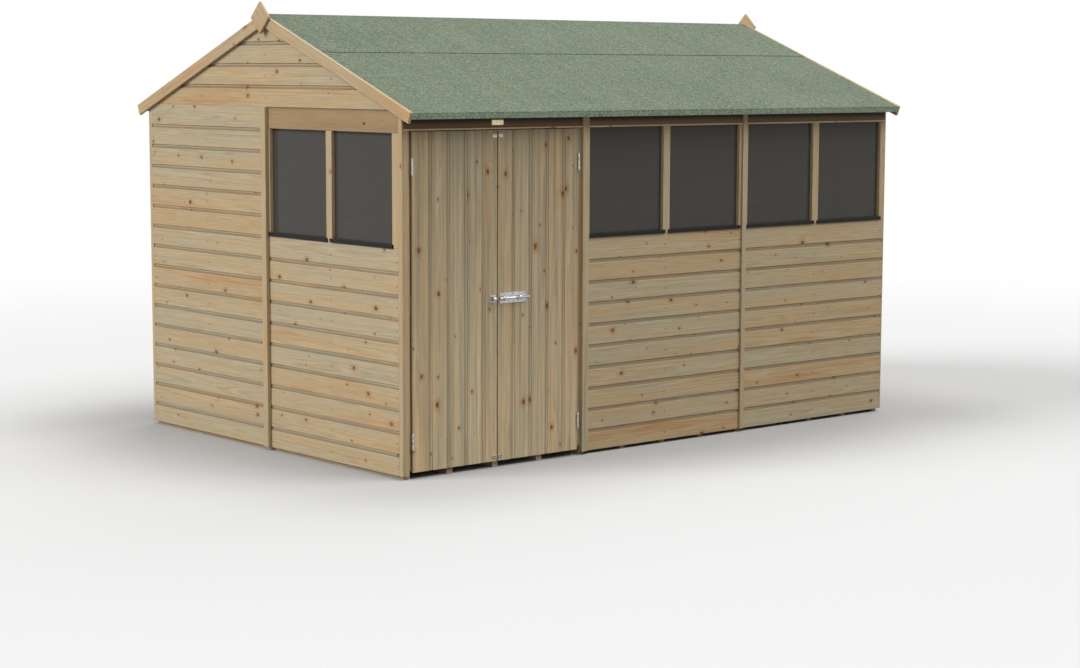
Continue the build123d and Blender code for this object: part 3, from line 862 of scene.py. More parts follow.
class TimberMesh:
    """Separate sticks and boards in one mesh, each with its own grain and tone."""

    def __init__(self, seed: str) -> None:
        """Starts an empty mesh with its own random draws."""
        self.bm = bmesh.new()
        self.draw = random.Random(seed)

    def take(self, other: BMesh, place: Optional[Matrix] = None) -> None:
        """Adds another mesh, moved to its place, and frees it."""
        if place is not None:
            bmesh.ops.transform(other, matrix=place, verts=other.verts)
        carrier = bpy.data.meshes.new("carrier")
        other.to_mesh(carrier)
        other.free()
        self.bm.from_mesh(carrier)
        bpy.data.meshes.remove(carrier)

    def block(self, low: Vector, high: Vector) -> None:
        """Adds a box between two corners."""
        made = bmesh.ops.create_cube(self.bm, size=1.0)
        bmesh.ops.scale(self.bm, vec=high - low, verts=made["verts"])
        bmesh.ops.translate(self.bm, vec=(low + high) / 2, verts=made["verts"])

    def saw(self, across: Vector, width: float) -> None:
        """Cuts slabs into boards with closed sides.

        Args:
            across: Direction across the boards.
            width: About how wide the boards are.
        """
        reach = [vert.co.dot(across) for vert in self.bm.verts]
        count = round((max(reach) - min(reach)) / width)
        step = (max(reach) - min(reach)) / count
        for index in range(1, count):
            edges = cut(self.bm, across * (min(reach) + index * step), across)
            bmesh.ops.split_edges(self.bm, edges=edges)
        self.close()

    def close(self) -> None:
        """Fills open ends and turns faces outwards."""
        ends = [edge for edge in self.bm.edges if edge.is_boundary]
        bmesh.ops.holes_fill(self.bm, edges=ends, sides=0)
        bmesh.ops.recalc_face_normals(self.bm, faces=self.bm.faces)

    def lay_grain(self, finish: TimberFinish) -> None:
        """Gives each stick a grain along its longest edge, a tone and a place in its own log.

        Args:
            finish: The wood, which has the range of tones.
        """
        grain = self.bm.verts.layers.float_vector.new(GRAIN)
        tone = self.bm.verts.layers.float.new(TONE)
        for island in islands(self.bm):
            edges = {edge for vert in island for edge in vert.link_edges}
            reach = max(edge.calc_length() for edge in edges) - TIE_LENGTH
            longest = [edge for edge in edges if edge.calc_length() > reach]
            along = max((steady(edge.verts[1].co - edge.verts[0].co) for edge in longest), key=tuple)
            along = along.normalized()
            faces = {face for vert in island for face in vert.link_faces}
            area = max(face.calc_area() for face in faces) * TIE_SHARE
            out = max((face.normal for face in faces if face.calc_area() > area), key=tuple)
            through = out - along * out.dot(along)
            through.normalize()
            across = through.cross(along)
            middle = Vector(place_sum(island)) / len(island)
            ranges = ((0, LOG_LENGTH), (-LOG_SHIFT, LOG_SHIFT), LOG_DEPTHS)
            start = Vector([self.draw.uniform(*ends) for ends in ranges])
            shade = self.draw.uniform(*finish.tone_range)
            for vert in island:
                off = vert.co - middle
                vert[grain] = Vector((off.dot(along), off.dot(across), off.dot(through))) + start
                vert[tone] = shade

    def drive_nails(self, lay: "Lay", nails: "Nails") -> List[Head]:
        """Notes where each board is nailed: at its middle and near both ends.

        Args:
            lay: Directions of the boards.
            nails: The nails' places on a board.

        Returns:
            The places of the nails' heads on the boards' faces, and the direction that they face.
        """
        fixing = self.bm.verts.layers.float_vector.new(FIXING)
        heads = []
        for island in islands(self.bm):
            runs = [vert.co.dot(lay.along) for vert in island]
            face = max(vert.co.dot(lay.out) for vert in island)
            low = min(vert.co.dot(lay.stack) for vert in island)
            middle = (max(runs) + min(runs)) / 2 + self.draw.uniform(-nails.scatter, nails.scatter)
            level = low + nails.rise + self.draw.uniform(-nails.scatter, nails.scatter)
            half = max((max(runs) - min(runs)) / 2 - nails.inset, 0.0)
            for vert, run in zip(island, runs):
                vert[fixing] = Vector((run - middle, vert.co.dot(lay.stack) - level, half))
            for side in (-1, 0, 1) if half else (0,):
                place = lay.along * (middle + side * half) + lay.stack * level + lay.out * face
                heads.append((place, lay.out))
        return heads

    def paint_hollow_shade(self, lay: "Lay", height: float) -> None:
        """Marks painted shade in the hollows along the boards' hollowed edges, where the next board's
        lip shades them.

        Args:
            lay: Directions of the boards.
            height: Height of the hollows.
        """
        hollow = self.bm.verts.layers.float.new(PAINTED_SHADE)
        for island in islands(self.bm):
            top = max(vert.co.dot(lay.stack) for vert in island)
            for vert in island:
                share = 1 - (top - vert.co.dot(lay.stack)) / height
                fade = (HOLLOW_SHADE_END - share) / HOLLOW_SHADE_FADE
                vert[hollow] = max(0.0, min(share / HOLLOW_SHADE_START, fade, 1.0))

    def paint_eaves_shade(self) -> None:
        """Marks how far down each board's ends are, from none at the top to all at the foot, for
        painted shade at the heads under the eaves and painted light at the feet.
        """
        bleach = self.bm.verts.layers.float.new(EAVES_SHADE)
        heights = [vert.co.z for vert in self.bm.verts]
        for vert in self.bm.verts:
            vert[bleach] = (max(heights) - vert.co.z) / (max(heights) - min(heights))

    def piece(self, name: str, body: str, slot: str, wood: Wood, nodes: Sequence[str]) -> None:
        """Lays the grain and makes the piece."""
        self.lay_grain(wood.value)
        add_piece(self.bm, name, body, wood.value, nodes)


@dataclass(frozen=True)
class Lay:
    """Directions of a stack of boards.

    Attributes:
        along: Direction of the boards.
        stack: Direction in which they are stacked, towards their hollowed edges.
        out: Direction that they face.
    """

    along: Vector
    stack: Vector
    out: Vector

    def size(self, box: Box) -> Vector:
        """Length along, height of the stack and thickness of a box."""
        span = box[1] - box[0]
        return Vector([abs(span.dot(axis)) for axis in (self.along, self.stack, self.out)])

    def place(self, box: Box) -> Matrix:
        """Frame at the corner of a box where the boards start."""
        lean = self.along + self.stack + self.out
        corner = [box[0][axis] if lean[axis] > 0 else box[1][axis] for axis in range(3)]
        turn = Matrix((self.along, self.stack, self.out)).transposed()
        return Matrix.Translation(corner) @ turn.to_4x4()


class Facing(Enum):
    """Walls and door leaves, by the lay of their boards."""

    FRONT = Lay(Vector((1, 0, 0)), Vector((0, 0, 1)), Vector((0, -1, 0)))
    BACK = Lay(Vector((-1, 0, 0)), Vector((0, 0, 1)), Vector((0, 1, 0)))
    LEFT = Lay(Vector((0, -1, 0)), Vector((0, 0, 1)), Vector((-1, 0, 0)))
    RIGHT = Lay(Vector((0, 1, 0)), Vector((0, 0, 1)), Vector((1, 0, 0)))
    LEAF = Lay(Vector((0, 0, -1)), Vector((1, 0, 0)), Vector((0, -1, 0)))


@dataclass(frozen=True)
class Studs:
    """Small round heads of nails, screws or pins.

    Attributes:
        radius: Radius of a head.
        rise: How far a head stands out.
        coat: Surface of the heads.
        segments: Facets of a head.
        crown_share: Width of a head's top to its foot.
    """

    radius: float
    rise: float
    coat: Coat
    segments: int = 10
    crown_share: float = 0.75

    def build(self, name: str, body: str, slot: str, heads: Sequence[Head]) -> None:
        """Makes the heads.

        Args:
            name: The piece's name.
            body: The body that they move with.
            slot: The record's material slot; not used.
            heads: Place of each head on its surface, and the direction that it faces.
        """
        bm = bmesh.new()
        for place, out in heads:
            turn = out.to_track_quat("Z", "Y").to_matrix().to_4x4()
            bmesh.ops.create_cone(
                bm,
                cap_ends=True,
                segments=self.segments,
                radius1=self.radius,
                radius2=self.radius * self.crown_share,
                depth=self.rise,
                matrix=Matrix.Translation(place + out * (self.rise / 2)) @ turn,
            )
        add_piece(bm, name, body, self.coat.value)


NAIL_HEADS = Studs(0.0024, 0.0004, Coat.NAIL, segments=8)
SCREW_HEADS = Studs(0.0034, 0.0007, Coat.SCREW)
PLAQUE_PINS = Studs(0.0016, 0.0006, Coat.SCREW)


@dataclass(frozen=True)
class Nails:
    """Places of the nails on a board.

    Attributes:
        inset: Distance of the outer nails from the board's ends.
        rise: Height of a nail above the board's lower edge.
        scatter: How far a nail may be out of line.
    """

    inset: float = 0.018
    rise: float = 0.046
    scatter: float = 0.006


WALL_NAILS = Nails()
GABLE_NAILS = Nails(inset=0.09)
LEDGE_NAILS = Nails(inset=0.165)


@dataclass(frozen=True)
class Shiplap:
    """Section of the shed's boards.

    Attributes:
        cover: Height that one board shows.
        cove_height: Height of the hollow at a board's upper edge.
        cove_depth: Depth of the hollow.
        cove_steps: Facets of the hollow.
        joint_gap: Gap under a board.
        nose: Rounding of a board's lower edge.
    """

    cover: float = 0.1145
    cove_height: float = 0.022
    cove_depth: float = 0.006
    cove_steps: int = 6
    joint_gap: float = 0.0003
    nose: float = 0.0012

    def board(self, length: float, low: float, high: float, thickness: float, hollowed: bool) -> BMesh:
        """One board along x, with y up its face and z out of it.

        Args:
            length: Length of the board.
            low: Its lower edge.
            high: Its upper edge.
            thickness: Thickness of the board.
            hollowed: Whether its upper edge has the hollow.

        Returns:
            The board.
        """
        bm = bmesh.new()
        corners = ((0, high, 0), (0, low, 0), (0, low, thickness))
        outline = [bm.verts.new(corner) for corner in corners]
        if hollowed:
            radius = (self.cove_depth**2 + self.cove_height**2) / (2 * self.cove_depth)
            start = bm.verts.new((0, high - self.cove_height, thickness))
            bmesh.ops.spin(
                bm,
                geom=[start],
                cent=(0, high, thickness - self.cove_depth + radius),
                axis=(1, 0, 0),
                angle=math.asin(self.cove_height / radius),
                steps=self.cove_steps,
                use_merge=False,
            )
            bm.verts.ensure_lookup_table()
            outline.extend(bm.verts[len(corners) :])
        else:
            outline.append(bm.verts.new((0, high, thickness)))
        face = bm.faces.new(outline)
        swept = bmesh.ops.extrude_face_region(bm, geom=[face])
        moved = [part for part in swept["geom"] if isinstance(part, BMVert)]
        bmesh.ops.translate(bm, vec=(length, 0, 0), verts=moved)
        bmesh.ops.recalc_face_normals(bm, faces=bm.faces)
        front_low = [
            edge
            for edge in bm.edges
            if all(abs(v.co.y - low) < MERGE_DISTANCE and v.co.z > thickness / 2 for v in edge.verts)
        ]
        bevel(bm, front_low, self.nose)
        return bm

    def stack(self, length: float, edges: Sequence[float], thickness: float) -> BMesh:
        """Boards between the given edges, the last one without a hollow.

        Args:
            length: Length of the boards.
            edges: Their edges, upwards.
            thickness: Thickness of the boards.

        Returns:
            The boards.
        """
        boards = TimberMesh("boards")
        last = len(edges) - 2
        for index, (low, high) in enumerate(zip(edges, edges[1:])):
            start = low + self.joint_gap if index else low
            boards.take(self.board(length, start, high, thickness, index < last))
        return boards.bm


SHIPLAP = Shiplap()
LEAF_SHIPLAP = Shiplap(cove_height=0.026, cove_depth=0.003)


@dataclass
class CladWall:
    """Shiplap of one wall.

    Attributes:
        node: The solids that the boards stand for.
        facing: The wall.
        nails: The nails' places on a board.
    """

    node: str
    facing: Facing
    nails: Nails = WALL_NAILS

    def build(self) -> None:
        """Makes the boards and their nails."""
        lay = self.facing.value
        boards = TimberMesh(self.node)
        for box in solid_boxes(self.node):
            self._panel(boards, lay, box)
        boards.paint_hollow_shade(lay, SHIPLAP.cove_height)
        heads = boards.drive_nails(lay, self.nails)
        boards.piece(f"{self.node}_boards", "shed", "cladding_wood", Wood.CLADDING, [self.node])
        NAIL_HEADS.build(f"{self.node}_nails", "shed", "galvanised", heads)

    def _panel(self, boards: TimberMesh, lay: Lay, box: Box) -> None:
        """Adds the boards of one panel."""
        length, height, thickness = lay.size(box)
        count = round(height / SHIPLAP.cover)
        edges = [height * index / count for index in range(count + 1)]
        boards.take(SHIPLAP.stack(length, edges, thickness), lay.place(box))


@dataclass
class GableTriangle(CladWall):
    """Shiplap of the triangle above a gable wall.

    Attributes:
        nails: The nails' places, further from the boards' slanting ends.
    """

    nails: Nails = GABLE_NAILS

    def _panel(self, boards: TimberMesh, lay: Lay, box: Box) -> None:
        """Adds the boards, cut to the roof's slopes."""
        length, height, thickness = lay.size(box)
        count = math.ceil(height / SHIPLAP.cover)
        edges = [SHIPLAP.cover * index for index in range(count + 1)]
        boards.take(SHIPLAP.stack(length, edges, thickness))
        for side in (-1, 1):
            normal = (side * height, length / 2, 0)
            cut(boards.bm, (length / 2, height, 0), normal, keep_outer=False)
            boards.close()
        bmesh.ops.transform(boards.bm, matrix=lay.place(box), verts=boards.bm.verts)


@dataclass
class DoorLeaf:
    """Upright boards of a door leaf with the ledges and braces behind them.

    Attributes:
        body: The leaf's body.
        first_board: Width of the board at the leaf's left edge.
        ledge_edge: Rounding of the ledges.
    """

    body: str
    first_board: float
    ledge_edge: float = 0.002

    def build(self) -> None:
        """Makes the boards, with the last one trimmed, and the ledges."""
        lay = Facing.LEAF.value
        node = f"{self.body}_boards"
        box = solid_boxes(node)[0]
        length, width, thickness = lay.size(box)
        section = LEAF_SHIPLAP
        whole = math.floor((width - self.first_board) / section.cover)
        joints = [self.first_board + index * section.cover for index in range(whole + 1)]
        boards = TimberMesh(node)
        boards.take(section.stack(length, [0.0, *joints, width], thickness), lay.place(box))
        boards.paint_hollow_shade(lay, section.cove_height)
        # Painted shade at the boards' heads under the eaves and painted light at their feet.
        boards.paint_eaves_shade()
        heads = boards.drive_nails(lay, LEDGE_NAILS)
        boards.piece(f"{node}_shiplap", self.body, "door_wood", Wood.DOOR, [node])
        NAIL_HEADS.build(f"{self.body}_nails", self.body, "galvanised", heads)
        Sticks(f"{self.body}_ledges", Wood.FRAME, "door_wood", self.body, self.ledge_edge).build()


@dataclass
class Sticks:
    """Timbers that keep their solids' form and get rounded edges and grain.

    Attributes:
        node: The solids.
        wood: Their timber.
        slot: The record's material slot, handed on but not used.
        body: The body that they move with.
        edge: Rounding of their edges.
        saw_across: Direction across the boards that a slab is cut into.
        saw_width: About how wide those boards are.
    """

    node: str
    wood: Wood
    slot: str
    body: str = "shed"
    edge: float = 0.0015
    saw_across: Optional[Vector] = None
    saw_width: float = 0.1

    def build(self) -> None:
        """Makes the timbers."""
        sticks = TimberMesh(self.node)
        sticks.take(copy_node(self.node))
        if self.saw_across is not None:
            sticks.saw(self.saw_across, self.saw_width)
        round_edges(sticks.bm, self.edge)
        sticks.piece(f"{self.node}_timber", self.body, self.slot, self.wood, [self.node])


@dataclass
class HeadBoards:
    """Boards over the doors and windows, with painted shade under the eaves, and with a pale bead
    below whose pale wood is a painted highlight.

    Attributes:
        node: The solids.
        edge: Rounding of their edges.
        bead: Height and thickness of the bead.
        front_shade_shares: Heights between which painted shade darkens a front board under the eaves.
        gable_shade_shares: Heights between which painted shade darkens the gable's board under the
            next one.
    """

    node: str = "head_boards"
    edge: float = 0.0015
    bead: Pair = (0.007, 0.005)
    front_shade_shares: Pair = (0.0, 0.44)
    gable_shade_shares: Pair = (0.86, 0.98)

    def build(self) -> None:
        """Makes the boards of the front, the one of the gable and the beads."""
        self._boards("front", Wood.SHADED_HEAD, 0, self.front_shade_shares, [self.node])
        self._boards("gable", Wood.HEAD, 1, self.gable_shade_shares, [])
        # Beads along the front head boards' lower edge; their pale wood is a painted highlight.
        beads = TimberMesh("beads")
        height, thickness = self.bead
        for low, high in solid_boxes(self.node):
            if high.x - low.x > high.y - low.y:
                corner = Vector((low.x, low.y - thickness, low.z))
                beads.block(corner, Vector((high.x, low.y, low.z + height)))
        beads.piece("head_beads", "shed", "trim_wood", Wood.BEAD, [])

    def _boards(self, wall: str, wood: Wood, axis: int, shares: Pair, nodes: Sequence[str]) -> None:
        """Makes the boards that run along one axis, with painted shade that rises between two shares
        of their height.
        """
        boards = TimberMesh(wall)
        boards.take(copy_node(self.node))
        away = []
        for island in islands(boards.bm):
            spans = [max(v.co[n] for v in island) - min(v.co[n] for v in island) for n in range(2)]
            if spans[axis] < spans[1 - axis]:
                away.extend(island)
        bmesh.ops.delete(boards.bm, geom=away, context="VERTS")
        round_edges(boards.bm, self.edge)
        self._shade(boards.bm, *shares)
        boards.piece(f"{wall}_head_boards", "shed", "cladding_wood", wood, nodes)

    @staticmethod
    def _shade(bm: BMesh, start: float, end: float) -> None:
        """Marks painted shade on the upper part of the boards, from one share of their height, where
        the eaves or the board above shade them.
        """
        hollow = bm.verts.layers.float.new(PAINTED_SHADE)
        low = min(vert.co.z for vert in bm.verts)
        height = max(vert.co.z for vert in bm.verts) - low
        for share in (start, (start + end) / 2, end):
            cut(bm, (0, 0, low + share * height), (0, 0, 1))
        for vert in bm.verts:
            rise = (vert.co.z - low) / height
            vert[hollow] = min(1.0, max(0.0, (rise - start) / (end - start)) ** 2)


@dataclass
class Carcass:
    """Framing, strips, floor and roof timbers.

    Attributes:
        roof_pitch: Slope of the roof.
        roof_board: Width of the roof boards.
        floor_board: Width of the floor boards.
    """

    roof_pitch: float = math.radians(21.2)
    roof_board: float = 0.105
    floor_board: float = 0.098

    def build(self) -> None:
        """Makes every timber that keeps its solid's form."""
        for wall in ("front", "left", "right", "back", "gable"):
            Sticks(f"{wall}_frames", Wood.FRAME, "frame_wood").build()
        for node in ("ridge_board", "roof_trusses"):
            Sticks(node, Wood.FRAME, "frame_wood").build()
        for wall in ("front", "left", "right", "back"):
            Sticks(f"{wall}_cover_strips", Wood.TRIM, "trim_wood").build()
        Sticks("door_frame", Wood.TRIM, "trim_wood").build()
        for node in ("barge_boards", "finials"):
            Sticks(node, Wood.BARGE, "trim_wood").build()
        Sticks("floor_bearers", Wood.FLOOR, "floor_wood").build()
        across = Vector((0, 1, 0))
        Sticks(
            "floor_panels", Wood.FLOOR, "floor_wood", saw_across=across, saw_width=self.floor_board
        ).build()
        for side, node in ((-1, "roof_deck_front"), (1, "roof_deck_back")):
            across = Vector((0, side * math.cos(self.roof_pitch), -math.sin(self.roof_pitch)))
            Sticks(node, Wood.ROOF, "roof_wood", saw_across=across, saw_width=self.roof_board).build()
        Sticks("eaves_rails", Wood.ROOF, "roof_wood").build()


@dataclass
class Fitting:
    """A piece that keeps its solid's form, with rounded edges.

    Attributes:
        node: The solids.
        coat: Their surface.
        slot: The record's material slot; not used.
        body: The body that they move with.
        edge: Rounding of their edges.
    """

    node: str
    coat: Coat
    slot: str
    body: str = "shed"
    edge: float = 0.0006

    def build(self) -> None:
        """Makes the piece."""
        bm = copy_node(self.node)
        round_edges(bm, self.edge)
        add_piece(bm, f"{self.node}_dressed", self.body, self.coat.value, [self.node])


@dataclass
class RoofFelt:
    """Felt of both slopes, rolled over the eaves, and the course over the ridge.

    Attributes:
        edge: Rounding of the felt's edges.
        roll: Radius of the roll over the eaves.
        roll_segments: Facets of the roll.
        fold_light_share: Share of the roll's radius below which the felt gets painted light.
    """

    edge: float = 0.001
    roll: float = 0.008
    roll_segments: int = 4
    fold_light_share: float = 0.6

    def build(self) -> None:
        """Makes the felt."""
        for node in ("roof_felt_front", "roof_felt_back"):
            self._slope(node)
        Fitting("roof_felt_ridge", Coat.FELT, "roof_felt", edge=self.edge).build()

    def _slope(self, node: str) -> None:
        """Makes the felt of one slope with its outer eaves edge rolled, and painted light on the felt
        below the roll.
        """
        bm = copy_node(node)
        outmost = max(abs(vert.co.y) for vert in bm.verts) - MERGE_DISTANCE
        outer = [edge for edge in bm.edges if all(abs(v.co.y) > outmost for v in edge.verts)]
        lines = [edge for edge in outer if abs(edge.verts[0].co.x - edge.verts[1].co.x) > self.roll]
        highest = max(edge.verts[0].co.z for edge in lines)
        eaves = [edge for edge in lines if highest - edge.verts[0].co.z < MERGE_DISTANCE]
        bevel(bm, eaves, self.roll, self.roll_segments)
        # Painted light on the felt turned down over the eaves.
        worn = bm.verts.layers.float.new(FOLD_LIGHT)
        for vert in bm.verts:
            vert[worn] = 1.0 if highest - vert.co.z > self.roll * self.fold_light_share else 0.0
        add_piece(bm, f"{node}_rolled", "shed", Coat.FELT.value, [node])


@dataclass
class Glazing:
    """Panes and the black strips under them.

    Attributes:
        strip_edge: Rounding of the strips.
    """

    strip_edge: float = 0.0015

    def build(self) -> None:
        """Finishes the panes and makes the strips."""
        for node in ("front_glass", "left_glass"):
            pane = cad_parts[node]
            pane.data.materials.clear()
            pane.data.materials.append(Coat.PANE.value.material())
            LOG.info("%s glazed", node)
        Fitting("window_drip_strips", Coat.BLACK_STRIP, "drip_plastic", edge=self.strip_edge).build()


@dataclass
class Ironmongery:
    """Hinges, bolt, catches, plaque and their screws.

    Attributes:
        screw_inset: Distance of a plate's screws from its edges.
        pin_inset: Distance of the plaque's pins from its ends.
        plate_thickness: Thickness of the bolt's plates.
        catch_thickness: Thickness of the catches.
        hinge_thickness: Thickness of a hinge's flat.
        hinge_screw_shares: Places of a hinge's screws, as shares of its length.
        heads: Screws of each body, by place and direction.
    """

    screw_inset: float = 0.008
    pin_inset: float = 0.005
    plate_thickness: float = 0.003
    catch_thickness: float = 0.004
    hinge_thickness: float = 0.0018
    hinge_screw_shares: Tuple[float, ...] = (0.18, 0.5, 0.82)
    heads: Dict[str, List[Head]] = field(default_factory=dict)

    def build(self) -> None:
        """Makes the fittings and then their screws."""
        Fitting("post_hinges", Coat.ZINC, "galvanised").build()
        for leaf in ("left_door", "right_door"):
            Fitting(f"{leaf}_hinges", Coat.ZINC, "galvanised", leaf).build()
            Fitting(f"{leaf}_catches", Coat.ZINC, "galvanised", leaf).build()
        Fitting("bolt_keep", Coat.ZINC, "galvanised", "left_door").build()
        Fitting("bolt_plate", Coat.ZINC, "galvanised", "right_door").build()
        Fitting("bolt_rod", Coat.ZINC, "galvanised", "bolt").build()
        Fitting("door_plaque", Coat.BRASS, "plaque_brass").build()
        self.heads = {"shed": [], "left_door": [], "right_door": []}
        self._plate("left_door", "bolt_keep", (0.0, 1.0))
        self._plate("right_door", "bolt_plate", (0.0, 0.5, 1.0))
        for leaf in ("left_door", "right_door"):
            self._catches(leaf)
        self._hinges("left_door", "left_door_hinges", -1)
        self._hinges("right_door", "right_door_hinges", 1)
        for side, hinges in ((1, "left_door_hinges"), (-1, "right_door_hinges")):
            self._post_hinges(side, hinges)
        for body, heads in self.heads.items():
            SCREW_HEADS.build(f"{body}_screws", body, "galvanised", heads)
        self._plaque()

    def _plate(self, leaf: str, node: str, shares: Sequence[float]) -> None:
        """Notes the screws along the upper and lower edges of a plate."""
        low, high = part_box(node)
        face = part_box(f"{leaf}_boards")[0].y - self.plate_thickness
        for share in shares:
            span = high.x - low.x - 2 * self.screw_inset
            x = low.x + self.screw_inset + share * span
            for z in (low.z + self.screw_inset, high.z - self.screw_inset):
                self.heads[leaf].append((Vector((x, face, z)), Facing.FRONT.value.out))

    def _catches(self, leaf: str) -> None:
        """Notes the two screws of each catch."""
        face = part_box(f"{leaf}_boards")[0].y - self.catch_thickness
        for low, high in solid_boxes(f"{leaf}_catches"):
            for x in (low.x + self.screw_inset, high.x - self.screw_inset):
                place = Vector((x, face, (low.z + high.z) / 2))
                self.heads[leaf].append((place, Facing.FRONT.value.out))

    def _hinges(self, leaf: str, node: str, side: int) -> None:
        """Notes the screws of the hinge flats on a leaf's edge, which face a side along x."""
        low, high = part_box(f"{leaf}_boards")
        edge = high.x if side > 0 else low.x
        self._flats(leaf, node, edge + side * self.hinge_thickness, side)

    def _post_hinges(self, side: int, node: str) -> None:
        """Notes the screws of the hinge flats on a door post, level with a leaf's hinges."""
        low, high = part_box("post_hinges")
        edge = low.x if side > 0 else high.x
        self._flats("shed", node, edge + side * self.hinge_thickness, side)

    def _flats(self, body: str, node: str, x: float, side: int) -> None:
        """Notes the screws on hinge flats at a place along x."""
        for low, high in solid_boxes(node):
            y = high.y - self.screw_inset
            for share in self.hinge_screw_shares:
                place = Vector((x, y, low.z + share * (high.z - low.z)))
                self.heads[body].append((place, Vector((side, 0, 0))))

    def _plaque(self) -> None:
        """Pins the plaque at both ends."""
        low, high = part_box("door_plaque")
        heads = []
        for x in (low.x + self.pin_inset, high.x - self.pin_inset):
            place = Vector((x, low.y, (low.z + high.z) / 2))
            heads.append((place, Facing.FRONT.value.out))
        PLAQUE_PINS.build("plaque_pins", "shed", "galvanised", heads)


@dataclass(frozen=True)
class Lamp:
    """A soft lamp far away.

    Attributes:
        name: The lamp's name.
        towards: Direction from the shed to the lamp.
        strength: Its strength.
        spread: How wide it looks, in degrees.
    """

    name: str
    towards: Triple
    strength: float
    spread: float

    def build(self) -> None:
        """Hangs the lamp."""
        light = bpy.data.lights.new(self.name, "SUN")
        light.energy = self.strength
        light.angle = math.radians(self.spread)
        holder = bpy.data.objects.new(self.name, light)
        holder.rotation_mode = "QUATERNION"
        holder.rotation_quaternion = Vector(self.towards).to_track_quat("Z", "Y")
        bpy.context.scene.collection.objects.link(holder)


LAMPS = (
    Lamp("gable_lamp", (-0.80, 0.30, 0.52), strength=2.42, spread=30.0),
    Lamp("front_lamp", (0.30, -0.46, 0.84), strength=2.15, spread=50.0),
    Lamp("fill_lamp", (-0.62, -0.72, 0.30), strength=0.3, spread=70.0),
    Lamp("back_lamp", (0.62, 0.42, 0.66), strength=0.8, spread=40.0),
)


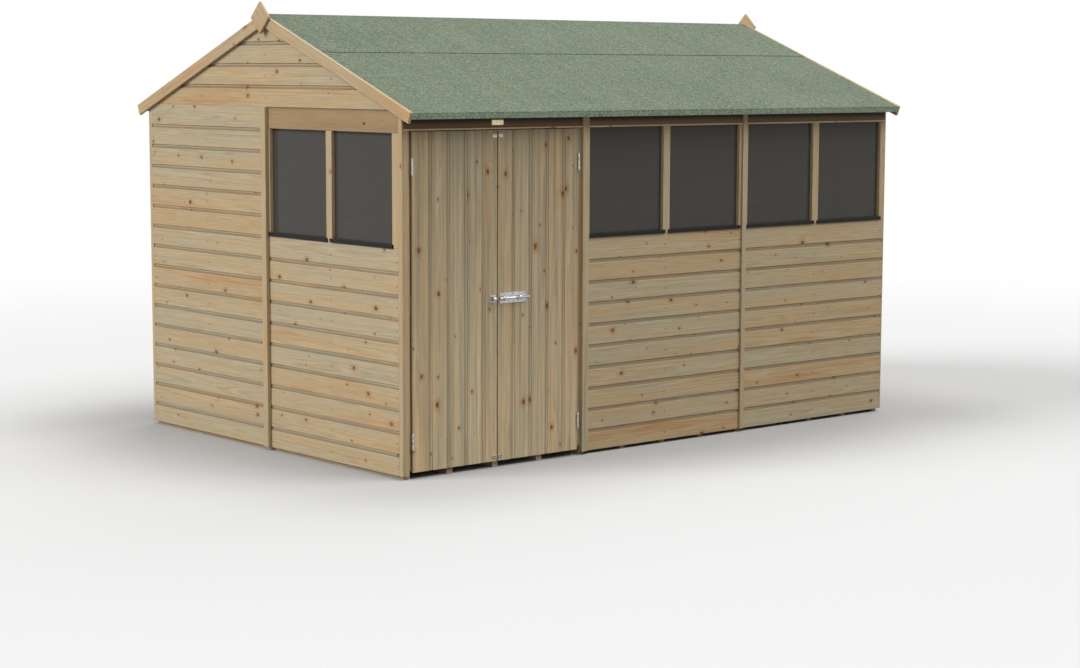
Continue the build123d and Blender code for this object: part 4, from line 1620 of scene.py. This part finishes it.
@dataclass
class Studio:
    """Floor, light and camera.

    Attributes:
        focal_pixels: Focal length in pixels of the picture.
        camera_place: Where the camera stands.
        yaw: Turn of the view from +Y towards +X.
        pitch: How far it looks down.
        roll: Turn about the view.
        sensor: Width of the camera's sensor.
        floor_reach: Half the width of the floor.
        floor_colour: The floor's colour where it is seen.
        floor_bounce: Its colour for the light that it throws back.
        painted_shadow_reach: How far from the shed the floor has painted shadow.
        painted_shadow_depth: How much darker the painted shadow makes the floor at the walls.
        floor_fade: Distances between which the floor turns white.
        horizon: Light of the sky at the horizon.
        zenith: Light of the sky overhead.
    """

    focal_pixels: float = 2221.848
    camera_place: Triple = (-8.44908, -9.96167, 2.05284)
    yaw: float = 0.71036
    pitch: float = 0.11867
    roll: float = 0.00298
    sensor: float = 36.0
    floor_reach: float = 60.0
    floor_colour: Colour = srgb(199, 199, 199)
    floor_bounce: Colour = srgb(112, 112, 112)
    painted_shadow_reach: float = 1.2
    painted_shadow_depth: float = 0.24
    floor_fade: Pair = (4.0, 11.0)
    horizon: float = 0.2
    zenith: float = 0.5

    def build(self) -> None:
        """Sets the camera, the floor and the light."""
        self._camera()
        self._floor()
        self._sky()
        for lamp in LAMPS:
            lamp.build()
        bpy.context.scene.view_settings.view_transform = "Standard"

    def _camera(self) -> None:
        """Puts the camera at the photograph's viewpoint."""
        forward = Vector(
            (
                math.sin(self.yaw) * math.cos(self.pitch),
                math.cos(self.yaw) * math.cos(self.pitch),
                -math.sin(self.pitch),
            )
        )
        level = Vector((math.cos(self.yaw), -math.sin(self.yaw), 0))
        upright = level.cross(forward)
        right = level * math.cos(self.roll) + upright * math.sin(self.roll)
        up = upright * math.cos(self.roll) - level * math.sin(self.roll)
        turn = Matrix((right, up, -forward)).transposed().to_4x4()
        lens = bpy.data.cameras.new("camera")
        lens.sensor_fit = "HORIZONTAL"
        lens.sensor_width = self.sensor
        lens.lens = self.focal_pixels / IMAGE_WIDTH * self.sensor
        camera = bpy.data.objects.new("camera", lens)
        camera.matrix_world = Matrix.Translation(self.camera_place) @ turn
        bpy.context.scene.collection.objects.link(camera)
        bpy.context.scene.camera = camera

    def _floor(self) -> None:
        """Makes a pale floor that keeps the shed's shadow, with painted shadow near the shed, and is
        white far away.
        """
        bm = bmesh.new()
        bmesh.ops.create_grid(bm, x_segments=1, y_segments=1, size=self.floor_reach)
        mesh = bpy.data.meshes.new("floor")
        bm.to_mesh(mesh)
        bm.free()
        pale = bpy.data.materials.new("pale_floor")
        pale.use_nodes = True
        graph = ShaderGraph(pale.node_tree)
        seen = graph.seen()
        x, y, _ = graph.split(graph.place())
        distance = (x * x + y * y).root()
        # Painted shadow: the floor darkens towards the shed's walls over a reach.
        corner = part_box("floor_panels")[1]
        off_x = (x.size() - corner.x).larger(0.0)
        off_y = (y.size() - corner.y).larger(0.0)
        away = (off_x * off_x + off_y * off_y).root().ease(0.0, self.painted_shadow_reach)
        shade = graph.blend(seen, self.floor_bounce, self.floor_colour)
        shade = graph.dim(shade, 1 - self.painted_shadow_depth + away * self.painted_shadow_depth)
        matt = graph.add("ShaderNodeBsdfDiffuse", {}, {"Color": shade})
        white = graph.add("ShaderNodeEmission", {}, {"Color": WHITE, "Strength": 1.0})
        far = distance.ease(*self.floor_fade) * seen
        mixed = graph.add("ShaderNodeMixShader", {}, {0: far, 1: matt["BSDF"], 2: white["Emission"]})
        graph.add("ShaderNodeOutputMaterial", {}, {"Surface": mixed["Shader"]})
        mesh.materials.append(pale)
        floor = bpy.data.objects.new("floor", mesh)
        bpy.context.scene.collection.objects.link(floor)

    def _sky(self) -> None:
        """Lights the shed from a sky that is brightest overhead and looks white."""
        world = bpy.data.worlds.new("sky")
        world.use_nodes = True
        bpy.context.scene.world = world
        graph = ShaderGraph(world.node_tree)
        height = graph.split(graph.add("ShaderNodeTexCoord")["Generated"])[2]
        level = self.horizon + height.ease(0.0, 1.0) * (self.zenith - self.horizon)
        light, white = [
            graph.add("ShaderNodeBackground", {}, {"Color": WHITE, "Strength": strength})["Background"]
            for strength in (level, 1.0)
        ]
        mixed = graph.add("ShaderNodeMixShader", {}, {0: graph.seen(), 1: light, 2: white})
        graph.add("ShaderNodeOutputWorld", {}, {"Surface": mixed["Shader"]})


def main() -> None:
    """Builds the shed's pieces in order, and then the studio."""
    logging.basicConfig(level=logging.INFO, format="%(message)s")
    for wall in (Facing.FRONT, Facing.LEFT, Facing.RIGHT, Facing.BACK):
        CladWall(f"{wall.name.lower()}_cladding", wall).build()
    for wall in (Facing.LEFT, Facing.RIGHT):
        GableTriangle(f"{wall.name.lower()}_gable_cladding", wall).build()
    DoorLeaf("left_door", first_board=0.1255).build()
    DoorLeaf("right_door", first_board=0.1145).build()
    HeadBoards().build()
    Carcass().build()
    RoofFelt().build()
    Glazing().build()
    Ironmongery().build()
    Studio().build()


if __name__ == "__main__":
    main()
